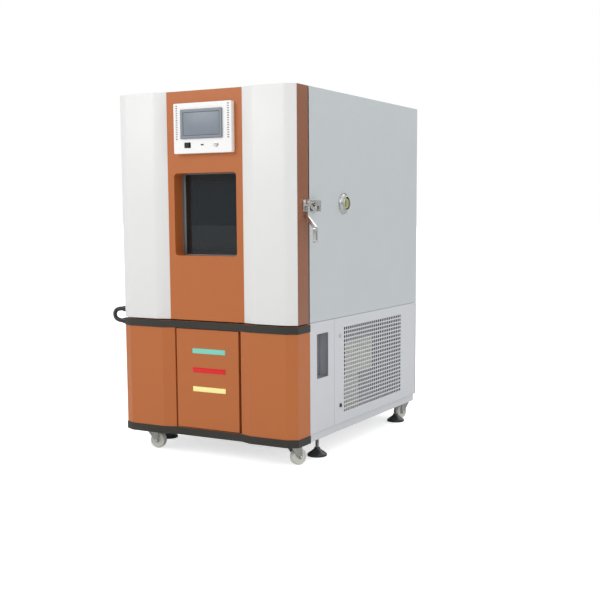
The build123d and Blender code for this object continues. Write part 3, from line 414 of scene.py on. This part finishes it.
def finishPiece(name, bm, material, body, replaced=(), angle=32, merge=True, recalc=True):
    if merge:
        bmesh.ops.remove_doubles(bm, verts=bm.verts, dist=2e-6)
    if recalc:
        bmesh.ops.recalc_face_normals(bm, faces=bm.faces)
    for face in bm.faces:
        face.smooth = True
    for edge in bm.edges:
        edge.smooth = edge.calc_face_angle(0) < radians(angle)
    mesh = bpy.data.meshes.new(name)
    bm.to_mesh(mesh)
    bm.free()
    obj = bpy.data.objects.new(name, mesh)
    scene.collection.objects.link(obj)
    mesh.materials.append(material)
    if body:
        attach(obj, body)
    if replaced:
        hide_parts(*replaced)
    return obj


def addModifier(obj, kind, settings):
    modifier = obj.modifiers.new(kind.lower(), kind)
    for key, value in settings.items():
        setattr(modifier, key, value)
    return modifier


# Wiring conduit: ribbed tube in a loop from the machine room up to the door
conduit = {
    "points": (
        (-0.4325, -0.520, 0.517), (-0.4735, -0.520, 0.517), (-0.4735, -0.520, 0.566), (-0.430, -0.520, 0.566)
    ),
    "diameter": 17 * mm,
    "rib": 2.6 * mm,
    "groove": 0.8 * mm,
}


def routeLine(points, name):
    curve = bpy.data.curves.new(name, "CURVE")
    curve.dimensions, curve.resolution_u = "3D", 40
    spline = curve.splines.new("NURBS")
    spline.points.add(len(points) - 1)
    for point, place in zip(spline.points, points):
        point.co = (*place, 1)
    spline.order_u, spline.use_endpoint_u = 3, True
    obj = bpy.data.objects.new(name, curve)
    scene.collection.objects.link(obj)
    bpy.context.view_layer.update()
    mesh = bpy.data.meshes.new_from_object(obj)
    line = [v.co.copy() for v in mesh.vertices]
    bpy.data.objects.remove(obj)
    bpy.data.meshes.remove(mesh)
    return line


def alongLine(line, step):
    # places and directions at equal steps along a line
    lengths = [0.0]
    for a, b in zip(line, line[1:]):
        lengths.append(lengths[-1] + (b - a).length)
    count = round(lengths[-1] / step)
    found, i = [], 0
    for k in range(count + 1):
        wanted = lengths[-1] * k / count
        while i < len(line) - 2 and lengths[i + 1] < wanted:
            i += 1
        share = (wanted - lengths[i]) / (lengths[i + 1] - lengths[i])
        found.append((line[i].lerp(line[i + 1], share), line[i + 1] - line[i]))
    return found, lengths[-1]


def makeConduit():
    line = routeLine(conduit["points"], "conduitRoute")
    outer = conduit["diameter"] / 2
    inner = outer - conduit["groove"]
    places, length = alongLine(line, conduit["rib"] / 4)
    shape = (outer, outer, inner, inner)
    stations = [(c, d, shape[i % 4], shape[i % 4], (0, 1, 0)) for i, (c, d) in enumerate(places)]
    bm = bmesh.new()
    addTube(bm, stations, 20)
    piece = finishPiece("wiringConduit", bm, conduitNylon, None, ("wiring_conduit",), 60)
    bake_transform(piece)
    print("stage: conduit, mm", round(length / mm))


makeConduit()


# White front panels: two folded skins with round outer corners
frontPanels = {
    "corner": 1.56 * mm, "fold": 7 * mm, "sheet": 1.8 * mm, "rim": 0.7 * mm,
    "inner": (17 * mm, 55 * mm),     # set-back and width of the bevel beside the centre panel
    "outer": (21 * mm, 40 * mm),     # set-back and width of the bevel at the outer edge
}


def makeFrontPanels():
    low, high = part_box("front_panels")
    inside, outside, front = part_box("door_centre_panel")[1].x, high.x, low.y
    (innerBack, innerWide), (outerBack, outerWide) = frontPanels["inner"], frontPanels["outer"]
    bm = bmesh.new()
    for side in (-1, 1):
        plan = [
            (inside, front + innerBack), (inside + innerWide, front), (outside - outerWide, front),
            (outside, front + outerBack), (outside, high.y),
        ]
        verts = [bm.verts.new((side * x, y, low.z)) for x, y in plan]
        chain = [bm.edges.new(pair) for pair in zip(verts, verts[1:])]
        grown = bmesh.ops.extrude_edge_only(bm, edges=chain)["geom"]
        tops = [g for g in grown if isinstance(g, bmesh.types.BMVert)]
        bmesh.ops.translate(bm, vec=(0, 0, high.z - low.z), verts=tops)
    soft = [e for e in bm.edges if len(e.link_faces) == 2 and abs(abs(e.verts[0].co.x) - outside) > 1e-4]
    bmesh.ops.bevel(
        bm, geom=soft, offset=frontPanels["fold"], segments=4, profile=0.5, affect="EDGES", material=-1
    )
    corner = [e for e in bm.edges if len(e.link_faces) == 2 and abs(abs(e.verts[0].co.x) - outside) < 1e-4
              and abs(e.verts[0].co.z - e.verts[1].co.z) > 0.1]
    bmesh.ops.bevel(
        bm, geom=corner, offset=frontPanels["corner"], segments=3, profile=0.5, affect="EDGES", material=-1
    )
    bmesh.ops.recalc_face_normals(bm, faces=bm.faces)
    bm.normal_update()
    for face in bm.faces:
        inward = face.normal.x * face.calc_center_median().x < 0
        if face.normal.y > 0.01 or (abs(face.normal.y) <= 0.01 and inward):
            face.normal_flip()
    piece = finishPiece(
        "frontPanels", bm, whitePowder, "door", ("front_panels",), 40, recalc=False
    )
    addModifier(piece, "SOLIDIFY", {"thickness": frontPanels["sheet"], "offset": -1})
    addModifier(piece, "BEVEL", {
        "width": frontPanels["rim"], "segments": 2, "limit_method": "ANGLE", "angle_limit": radians(60)
    })
    print("stage: front panels")


makeFrontPanels()


# Service door: folded sheet with thirty columns and twenty-one rows of punched openings
grille = {
    "columns": 30, "rows": 21,
    "start": (-0.172, 0.149), "size": (0.567, 0.349),
    "slot": (11.6 * mm, 10.8 * mm), "corner": 2.2 * mm,
    "sheet": 1.5 * mm, "fold": 14.9 * mm,
}


def makeServiceDoor():
    low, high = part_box("service_door")
    x = high.x
    y0, z0 = grille["start"]
    stepY, stepZ = grille["size"][0] / grille["columns"], grille["size"][1] / grille["rows"]
    slotY, slotZ = grille["slot"]
    bm = bmesh.new()
    cell = [bm.verts.new((x, y0 + a * stepY, z0 + b * stepZ)) for a, b in ((0, 0), (1, 0), (1, 1), (0, 1))]
    face = bm.faces.new(cell)
    bm.normal_update()
    bmesh.ops.inset_region(bm, faces=[face], thickness=2 * mm, use_boundary=True)
    middle = face.calc_center_median()
    bmesh.ops.scale(
        bm, vec=(1, slotY / (stepY - 4 * mm), slotZ / (stepZ - 4 * mm)), verts=face.verts,
        space=Matrix.Translation(-middle),
    )
    bmesh.ops.bevel(
        bm, geom=list(face.verts), offset=grille["corner"], segments=1, profile=0.5, affect="VERTICES",
        material=-1,
    )
    hole = max(bm.faces, key=lambda f: len(f.verts) if (f.calc_center_median() - middle).length < 1e-5 else 0)
    bmesh.ops.delete(bm, geom=[hole], context="FACES_ONLY")
    pattern = list(bm.verts) + list(bm.edges) + list(bm.faces)
    for i in range(grille["columns"]):
        for j in range(grille["rows"]):
            if i or j:
                copy = bmesh.ops.duplicate(bm, geom=pattern)["geom"]
                moved = [g for g in copy if isinstance(g, bmesh.types.BMVert)]
                bmesh.ops.translate(bm, vec=(0, i * stepY, j * stepZ), verts=moved)
    corners = ((low.y, low.z), (high.y, low.z), (high.y, high.z), (low.y, high.z))
    border = bm.faces.new([bm.verts.new((x, y, z)) for y, z in corners])
    bm.normal_update()
    bmesh.ops.inset_region(bm, faces=[border], thickness=20 * mm, use_boundary=True)
    y1, z1 = y0 + grille["size"][0], z0 + grille["size"][1]
    for v in border.verts:
        v.co.y = y0 if v.co.y < (y0 + y1) / 2 else y1
        v.co.z = z0 if v.co.z < (z0 + z1) / 2 else z1
    for edge in list(border.edges):
        flat = abs(edge.verts[0].co.z - edge.verts[1].co.z) < 1e-6
        cuts = (grille["columns"] if flat else grille["rows"]) - 1
        bmesh.ops.subdivide_edges(bm, edges=[edge], cuts=cuts)
    hole = [f for f in bm.faces if len(f.verts) > 2 * grille["columns"] + grille["rows"]]
    bmesh.ops.delete(bm, geom=hole, context="FACES_ONLY")
    outer = [e for e in bm.edges if len(e.link_faces) == 1
             and all(abs(v.co.y - low.y) < 1e-6 or abs(v.co.y - high.y) < 1e-6
                     or abs(v.co.z - low.z) < 1e-6 or abs(v.co.z - high.z) < 1e-6 for v in e.verts)]
    fold = bmesh.ops.extrude_edge_only(bm, edges=outer)["geom"]
    bmesh.ops.translate(
        bm, vec=(-grille["fold"], 0, 0), verts=[g for g in fold if isinstance(g, bmesh.types.BMVert)]
    )
    bmesh.ops.remove_doubles(bm, verts=bm.verts, dist=2e-5)
    bmesh.ops.recalc_face_normals(bm, faces=bm.faces)
    bm.normal_update()
    flatFace = next(f for f in bm.faces if abs(f.normal.x) > 0.9)
    if flatFace.normal.x < 0:
        bmesh.ops.reverse_faces(bm, faces=bm.faces)
    piece = finishPiece(
        "perforatedServiceDoor", bm, bounceLitGreyPowder, "service_door", ("service_door",), 40,
        recalc=False,
    )
    addModifier(piece, "SOLIDIFY", {"thickness": grille["sheet"], "offset": -1})
    print("stage: service door", len(piece.data.polygons), "faces")


makeServiceDoor()


# Colour bars on the lower door: three raised strips of glossy film
bars = {
    "pitch": 75 * mm,
    "colours": (("yellowBar", "#FFF7A6"), ("redBar", "#DC1218"), ("greenBar", "#7FD4BE")),
}


def makeBars():
    low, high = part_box("colour_bars")
    height = high.z - low.z - 2 * bars["pitch"]
    for i, (name, tint) in enumerate(bars["colours"]):
        film = mouldedPlastic(name + "Film", tint, 0.25, 2.0, 0.01, 0.4)
        bm = bmesh.new()
        z = low.z + i * bars["pitch"]
        addBox(bm, (low.x, low.y, z), (high.x, high.y, z + height), 0.5 * mm)
        replaced = ("colour_bars",) if i == 0 else ()
        finishPiece(name, bm, film, "lower_door", replaced)


makeBars()


# Display: silver frame with a sunk matt screen
display = {
    "edge": 1.6 * mm, "border": 3.5 * mm, "rim": 9 * mm, "step": 1.2 * mm, "sunk": 1.6 * mm,
    # seal lines: distance outside the screen, width, height above the screen or the frame
    "screenSeal": (0, 1.5 * mm, 0.5 * mm), "frameSeal": (11.2 * mm, 1.0 * mm, 0.15 * mm), "seal": 0.4 * mm,
}


def makeDisplay():
    low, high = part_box("touch_screen")
    front = low.y
    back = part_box("control_housing")[0].y
    bm = bmesh.new()
    addBox(bm, (low.x, front, low.z), (high.x, back, high.z), display["edge"], 3)
    face = min(bm.faces, key=lambda f: f.calc_center_median().y)
    bmesh.ops.inset_region(bm, faces=[face], thickness=display["border"], depth=0)
    bmesh.ops.inset_region(bm, faces=[face], thickness=display["rim"], depth=0)
    bmesh.ops.inset_region(bm, faces=[face], thickness=display["step"], depth=-display["sunk"])
    screen = [v.co.copy() for v in face.verts]
    finishPiece("displayFrame", bm, bezelAbs, "door", ("touch_screen",), 25)
    left, right = min(v.x for v in screen), max(v.x for v in screen)
    bottom, top = min(v.z for v in screen), max(v.z for v in screen)
    y = screen[0].y
    bm = bmesh.new()
    addBox(bm, (left, y - 0.3 * mm, bottom), (right, y + 1 * mm, top), 0.2 * mm)
    finishPiece("displayScreen", bm, touchFilm, "door")
    bm = bmesh.new()
    for (out, wide, lift), level in ((display["screenSeal"], y), (display["frameSeal"], front)):
        start = level - lift
        addRing(
            bm, (left - out, start, bottom - out), (right + out, start + display["seal"], top + out), wide
        )
    finishPiece("displaySeals", bm, gasketRubber, "door")


makeDisplay()


# Glazing bead in front of the outer pane, a darker grey cup in the side pocket as painted shade of the
# recess, and dark sheets inside the machine room as painted shade
window = {"rim": 5 * mm, "side": 17 * mm, "depth": 4 * mm, "step": 1.5 * mm, "half": 142 * mm,
          "sill": 787.5 * mm, "top": 1102.5 * mm}
cup = {"low": (0.3552, -0.3968, 0.3182), "high": (0.3998, -0.3052, 0.4898), "wall": 0.5 * mm}
shadeSheets = (
    ((-0.3838, -0.110, 0.105), (-0.3808, 0.280, 0.520)),
    ((-0.335, 0.5602, 0.105), (0.335, 0.5630, 0.520)),
)


def makeBead():
    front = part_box("window_panes")[0].y
    half, sill, top = window["half"], window["sill"], window["top"]
    bm = bmesh.new()
    addRing(bm, (-half, front - window["depth"], sill), (half, front, top), window["rim"])
    for side in (-1, 1):
        a, b = sorted((side * (half - 6 * mm), side * (half - window["side"])))
        addBox(bm, (a, front - window["depth"] - window["step"], sill), (b, front, top), 0.5 * mm)
    bead = finishPiece("windowBead", bm, beadMetal, "door")
    addModifier(bead, "BEVEL", {"width": 0.6 * mm, "segments": 2, "limit_method": "ANGLE"})
    bm = bmesh.new()
    addRing(
        bm, (window["side"] - half, front - 2 * mm, sill + window["rim"]),
        (half - window["side"], front, top - window["rim"]), 2.5 * mm,
    )
    finishPiece("windowSeal", bm, gasketRubber, "door")


def makePocketShadeCup():
    # the cup's darker grey stands in as painted shade inside the pocket
    low, high = cup["low"], cup["high"]
    bm = bmesh.new()
    addBox(bm, low, high)
    bm.normal_update()
    mouth = [f for f in bm.faces if f.normal.x > 0.9]
    deep = [e for e in bm.edges if all(v.co.x < low[0] + 1e-5 for v in e.verts)]
    bmesh.ops.delete(bm, geom=mouth, context="FACES_ONLY")
    bmesh.ops.bevel(bm, geom=deep, offset=6 * mm, segments=4, profile=0.5, affect="EDGES", material=-1)
    bmesh.ops.recalc_face_normals(bm, faces=bm.faces)
    bmesh.ops.reverse_faces(bm, faces=bm.faces)
    piece = finishPiece("pocketShadeCup", bm, pocketShadeGrey, "cabinet", (), 40, recalc=False)
    addModifier(piece, "SOLIDIFY", {"thickness": cup["wall"], "offset": 1})


def makeShadeSheets():
    # dark sheets on the inside of the machine room, put in as painted shade seen through its openings
    bm = bmesh.new()
    for low, high in shadeSheets:
        addBox(bm, low, high, 0.6 * mm)
    finishPiece("machineRoomShadeSheets", bm, shadeSheetBlack, "cabinet")


makeBead()
makePocketShadeCup()
makeShadeSheets()


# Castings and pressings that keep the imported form, with their edges rounded
def roundedCopy(node, name, material, body, width, segments=2, limit=30):
    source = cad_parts[node]
    bm = bmesh.new()
    bm.from_mesh(source.data)
    bm.transform(source.matrix_world)
    bmesh.ops.remove_doubles(bm, verts=bm.verts, dist=1e-5)
    bmesh.ops.dissolve_limit(bm, angle_limit=radians(0.5), verts=bm.verts, edges=bm.edges)
    piece = finishPiece(name, bm, material, body, (node,), limit)
    addModifier(piece, "BEVEL", {
        "width": width * mm, "segments": segments, "limit_method": "ANGLE", "angle_limit": radians(limit),
        "harden_normals": True,
    })
    return piece


roundedCopy("latch_base", "latchBaseCasting", chrome, "door", 1.6, 3)
roundedCopy("latch_lever", "latchLeverCasting", chrome, "latch_lever", 1.5, 3)
roundedCopy("latch_keeper", "latchKeeperCasting", chrome, "cabinet", 1.4, 3)
roundedCopy("door_gasket", "doorGasket", gasketRubber, "door", 2.5, 3)
roundedCopy("trim_bands", "trimBands", bandRubber, "cabinet", 0.8, 2)
roundedCopy("door_hinge_leaves", "doorHingeLeaves", chrome, "door", 0.7)
roundedCopy("cabinet_hinges", "cabinetHinges", chrome, "cabinet", 0.7)
roundedCopy("electrical_box", "electricalBox", creamAbs, "cabinet", 1.5)
for corner in ("front_left", "front_right", "rear_left", "rear_right"):
    fork = "caster_fork_" + corner
    roundedCopy(fork, "casterFork_" + corner, zinc, fork, 0.6)
print("stage: castings")


# Wheels, feet, cable port, button and switch
def middleOf(node):
    low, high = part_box(node)
    return (low + high) / 2


wheel = {"radius": 32 * mm, "half": 13.5 * mm, "bore": 4.1 * mm}


def makeWheel(corner, turn):
    node = "caster_wheel_" + corner
    r, h, b = wheel["radius"], wheel["half"], wheel["bore"]
    side = [
        (h + 0.6 * mm, b), (h + 0.6 * mm, 9.5 * mm), (h - 0.4 * mm, 10.5 * mm), (h - 2.4 * mm, 11 * mm),
        (h - 2.6 * mm, 17 * mm), (h - 2.4 * mm, r - 9.5 * mm), (h - 0.6 * mm, r - 8 * mm),
        (h - 0.2 * mm, r - 6 * mm), (h - 0.6 * mm, r - 3.2 * mm), (h - 2.4 * mm, r - 1.2 * mm),
        (h - 6 * mm, r - 0.2 * mm), (0, r),
    ]
    profile = side + [(-along, radius) for along, radius in reversed(side[:-1])]
    axis = (-sin(radians(turn)), cos(radians(turn)), 0)
    bm = bmesh.new()
    addLathe(bm, profile, middleOf(node), axis)
    finishPiece("casterWheel_" + corner, bm, wheelNylon, node, (node,), 40)
    bm = bmesh.new()
    for way in (-1, 1):
        start = Vector(middleOf(node)) + Vector(axis) * way * (h + 7 * mm)
        addLathe(bm, [(0, 0), (0, 4.5 * mm), (1.4 * mm * way, 4 * mm), (1.8 * mm * way, 0)], start, axis, 24)
    finishPiece("casterBolt_" + corner, bm, chrome, "caster_fork_" + corner)


for corner, turn in (("front_left", 10), ("front_right", 66), ("rear_left", 200), ("rear_right", 250)):
    makeWheel(corner, turn)

foot = {
    "bell": (
        (0, 0), (0, 36), (0.8, 38.2), (2.6, 39), (7, 39), (9, 38.2), (11.5, 35.5), (15, 30.5), (19, 25),
        (23, 19.2), (27, 14.4), (30, 12), (33, 11.1), (34.5, 10.4), (34.8, 6.5),
    ),
    "stem": 7 * mm, "stemTop": 133 * mm, "pitch": 2 * mm,
}


def makeFoot(corner):
    node = "levelling_foot_" + corner
    centre = middleOf(node)
    base = Vector((centre.x, centre.y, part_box(node)[0].z))
    bm = bmesh.new()
    addLathe(bm, [(z * mm, r * mm) for z, r in foot["bell"]], base, (0, 0, 1), 64)
    finishPiece("footBell_" + corner, bm, footRubber, node, (node,), 40)
    profile = [(34 * mm, 0), (34 * mm, foot["stem"] - 0.6 * mm), (38 * mm, foot["stem"] - 0.6 * mm)]
    turns = int((foot["stemTop"] - 42 * mm) / foot["pitch"])
    for i in range(turns):
        z = 38 * mm + i * foot["pitch"]
        profile += [(z + foot["pitch"] / 2, foot["stem"]), (z + foot["pitch"], foot["stem"] - 0.9 * mm)]
    profile += [(foot["stemTop"] - 1 * mm, foot["stem"] - 1.5 * mm), (foot["stemTop"] - 1 * mm, 0)]
    bm = bmesh.new()
    addLathe(bm, profile, base, (0, 0, 1), 24)
    finishPiece("footStem_" + corner, bm, zinc, node, (), 50)


for corner in ("front_left", "front_right", "rear_left", "rear_right"):
    makeFoot(corner)

# radii in mm
port = {
    "flange": 42.5, "tube": 28.7, "lip": 31, "bore": 25, "plug": 24.7, "screws": 37.5,
    "screw": ((0, 2.6), (1.2, 2.4), (1.8, 1.4), (1.9, 0)),
}


def makePort():
    low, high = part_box("port_flange")
    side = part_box("upper_casing")[1].x
    centre = Vector((side, (low.y + high.y) / 2, (low.z + high.z) / 2))
    proud = (high.x - side) / mm
    outside = [
        ((low.x - side) / mm, port["bore"]), ((low.x - side) / mm, port["tube"]), (-0.2, port["tube"]),
        (0, port["flange"]), (1.8, port["flange"]), (2.8, port["flange"] - 1), (3, port["flange"] - 4),
        (3, 36), (3.4, 34.5), (6, 32), (9, port["lip"]), (proud - 5, port["tube"]),
        (proud - 3, port["tube"]), (proud - 1, port["tube"] - 0.4), (proud, port["tube"] - 1.8),
        (proud - 0.5, port["bore"] + 0.3), ((low.x - side) / mm, port["bore"]),
    ]
    bm = bmesh.new()
    addLathe(bm, [(a * mm, r * mm) for a, r in outside], centre, (1, 0, 0), 96)
    finishPiece("portFlange", bm, polishedSteel, "cabinet", ("port_flange",), 35)
    bm = bmesh.new()
    for i in range(4):
        angle = pi / 4 + i * pi / 2
        head = centre + Vector((3, port["screws"] * cos(angle), port["screws"] * sin(angle))) * mm
        addLathe(bm, [(a * mm, r * mm) for a, r in port["screw"]], head, (1, 0, 0), 20)
    finishPiece("portScrews", bm, chrome, "cabinet")
    plugLow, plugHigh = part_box("port_plug")
    face = (plugHigh.x - side) / mm - 2
    inner, r = (plugLow.x - side) / mm, port["plug"]
    profile = [
        (inner, 0), (inner, r - 1.5), (inner + 2, r), (face - 14, r), (face - 8, r - 1.5), (face - 2, r - 4),
        (face, r - 6), (face - 0.4, r - 8.5), (face - 3.6, r - 10), (face - 5.5, 11), (face - 4.6, 6),
        (face - 5.5, 0),
    ]
    bm = bmesh.new()
    addLathe(bm, [(a * mm, r * mm) for a, r in profile], centre, (1, 0, 0), 64)
    x = centre.x + face * mm
    tab = Vector((1.8, 2.5, 15)) * mm
    addBox(
        bm, (x - 6 * mm, centre.y - tab.y, centre.z - tab.z), (x + tab.x, centre.y + tab.y, centre.z + tab.z),
        1.6 * mm, 3,
    )
    finishPiece("portPlug", bm, silicone, "port_plug", ("port_plug",), 40)


makePort()


fittings = {
    "rocker": (28.6, 20.8), "rockerX": -61 * mm, "socketX": 6 * mm, "socket": (6 * mm, 2.5 * mm),
    "proud": 1.5, "collar": 11, "button": 7.5,
}


def makeFittings():
    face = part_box("control_housing")[0].y
    front = face - fittings["proud"] * mm
    x, z = fittings["rockerX"], middleOf("rocker_switch").z
    w, h = (side / 2 * mm for side in fittings["rocker"])
    bm = bmesh.new()
    addRing(bm, (x - w, front, z - h), (x + w, face, z + h), 3.4 * mm)
    piece = finishPiece("rockerFrame", bm, switchNylon, "door", ("panel_fittings",))
    addModifier(piece, "BEVEL", {"width": 0.6 * mm, "segments": 2, "limit_method": "ANGLE"})
    w, h, deep = w - 2 * mm, h - 2 * mm, face + 12 * mm
    bm = bmesh.new()
    addRing(bm, (x - w, face, z - h), (x + w, deep, z + h), 1.4 * mm)
    addBox(bm, (x - w, deep, z - h), (x + w, deep + 1.5 * mm, z + h))
    finishPiece("rockerBox", bm, switchNylon, "door")
    button = middleOf("push_button")
    x, z = fittings["socketX"], button.z
    bm = bmesh.new()
    (w, h), deep = fittings["socket"], face + 10 * mm
    addRing(bm, (x - w, face - 0.4 * mm, z - h), (x + w, deep, z + h), 0.7 * mm)
    addBox(bm, (x - 4.4 * mm, face + 2 * mm, z - 0.2 * mm), (x + 4.4 * mm, deep, z + 1 * mm))
    addBox(bm, (x - w, deep, z - h), (x + w, face + 12 * mm, z + h))
    finishPiece("dataSocket", bm, switchNylon, "door")
    collar, bore = fittings["collar"], fittings["button"] + 0.1
    bm = bmesh.new()
    profile = [
        (12, bore), (-1.2, bore), (-1.5, bore + 0.4), (-1.4, 9.4), (-0.6, 10.6), (0, collar), (0.1, 9),
        (14, 9), (14, bore), (12, bore),
    ]
    addLathe(bm, [(a * mm, r * mm) for a, r in profile], (button.x, face, z), (0, 1, 0), 64)
    finishPiece("buttonCollar", bm, chrome, "door", (), 40)
    low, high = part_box("push_button")
    length = (high.y - low.y) / mm
    r = fittings["button"]
    profile = [(0.5, 0), (0.3, 3), (0, r - 1.4), (0.3, r - 0.6), (1, r), (length, r), (length, 0)]
    bm = bmesh.new()
    addLathe(bm, [(a * mm, q * mm) for a, q in profile], (button.x, low.y, z), (0, 1, 0), 64)
    finishPiece("pushButton", bm, chrome, "push_button", ("push_button",), 40)


makeFittings()


# Shelves of round chromed wire
shelf = {"wire": 1.5 * mm, "bar": 3 * mm, "count": 12}


def makeShelves():
    low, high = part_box("wire_shelves")
    bm = bmesh.new()
    bar, wire = shelf["bar"], shelf["wire"]
    sides, tops = (low.y, high.y), (high.z, low.z + 8 * mm)
    for top in tops:
        level = top - 2 * mm - bar
        for x in (low.x + bar, high.x - bar):
            addTube(bm, [((x, y, level), (0, 1, 0), bar, bar, (1, 0, 0)) for y in sides], 12)
        ends = (low.x + bar, high.x - bar)
        for y in (low.y + bar, (low.y + high.y) / 2, high.y - bar):
            addTube(bm, [((x, y, level), (1, 0, 0), bar, bar, (0, 1, 0)) for x in ends], 12)
        step = (high.x - low.x - 4 * bar) / (shelf["count"] + 1)
        for i in range(shelf["count"]):
            x = low.x + 2 * bar + step * (i + 1)
            addTube(bm, [((x, y, top - wire), (0, 1, 0), wire, wire, (1, 0, 0)) for y in sides], 10)
    finishPiece("wireShelves", bm, chrome, "cabinet", ("wire_shelves",), 50, merge=False)


makeShelves()
print("stage: small parts")


# Floor, soft light and a white background
studio = {"skyForObject": 0.73, "horizon": 0.4, "floorGlow": 0.6, "key": 78, "fill": 28, "rim": 26}


def makeStudio():
    world = bpy.data.worlds.new("studioWhite")
    scene.world = world
    world.use_nodes = True
    tree = world.node_tree
    tree.nodes.clear()
    rays = addNode(tree, "ShaderNodeLightPath")
    # plain white for the camera, also through glass, and a darker horizon for what is mirrored
    seen = addNode(tree, "ShaderNodeMath", {"operation": "MAXIMUM"}, {
        0: rays.outputs["Is Camera Ray"], 1: rays.outputs["Is Transmission Ray"]})
    plain = addNode(
        tree, "ShaderNodeMapRange", {"To Min": studio["skyForObject"], "To Max": 1.0},
        {"Value": seen.outputs[0]})
    height = addNode(
        tree, "ShaderNodeSeparateXYZ", {}, {"Vector": addNode(tree, "ShaderNodeTexCoord").outputs["Object"]})
    mirrored = addNode(
        tree, "ShaderNodeMapRange",
        {"interpolation_type": "SMOOTHSTEP", "From Min": 0.02, "From Max": 0.45, "To Min": studio["horizon"],
         "To Max": 1.05}, {"Value": height.outputs["Z"]})
    level = addNode(tree, "ShaderNodeMix", {"data_type": "FLOAT"}, {
        0: rays.outputs["Is Glossy Ray"], 2: plain.outputs["Result"], 3: mirrored.outputs["Result"]})
    light = addNode(tree, "ShaderNodeBackground", {"Color": (1, 1, 1, 1)}, {"Strength": level.outputs[0]})
    addNode(tree, "ShaderNodeOutputWorld", {}, {"Surface": light.outputs["Background"]})

    bm = bmesh.new()
    bmesh.ops.create_grid(bm, x_segments=1, y_segments=1, size=60)
    mesh = bpy.data.meshes.new("studioFloor")
    bm.to_mesh(mesh)
    bm.free()
    floor = bpy.data.objects.new("studioFloor", mesh)
    scene.collection.objects.link(floor)
    material, tree, shader = newMaterial("whiteFloor", {"Base Color": colour("#EDEDED"), "Roughness": 0.8})
    rays = addNode(tree, "ShaderNodeLightPath")
    glow = addNode(tree, "ShaderNodeEmission", {"Color": (1, 1, 1, 1)})
    seen = addNode(
        tree, "ShaderNodeMath", {"operation": "MULTIPLY", 1: studio["floorGlow"]},
        {0: rays.outputs["Is Camera Ray"]},
    )
    tree.links.new(seen.outputs[0], glow.inputs["Strength"])
    both = addNode(tree, "ShaderNodeAddShader", {}, {0: shader.outputs[0], 1: glow.outputs[0]})
    tree.links.new(both.outputs[0], tree.nodes["Material Output"].inputs["Surface"])
    mesh.materials.append(material)

    for name, place, size, power in (
        ("keySoftbox", (-2.2, -4.0, 3.2), 2.6, studio["key"]),
        ("fillSoftbox", (4.2, -1.0, 2.2), 2.4, studio["fill"]),
        ("backSoftbox", (2.0, 3.4, 3.4), 2.4, studio["rim"]),
    ):
        data = bpy.data.lights.new(name, "AREA")
        data.size, data.energy = size, power
        lamp = bpy.data.objects.new(name, data)
        scene.collection.objects.link(lamp)
        aim = Vector((0, 0, 0.7)) - Vector(place)
        lamp.matrix_world = Matrix.Translation(place) @ aim.to_track_quat("-Z", "Y").to_matrix().to_4x4()
    scene.view_settings.view_transform = "Standard"


makeStudio()
print("stage: studio ready")

bpy.context.view_layer.update()
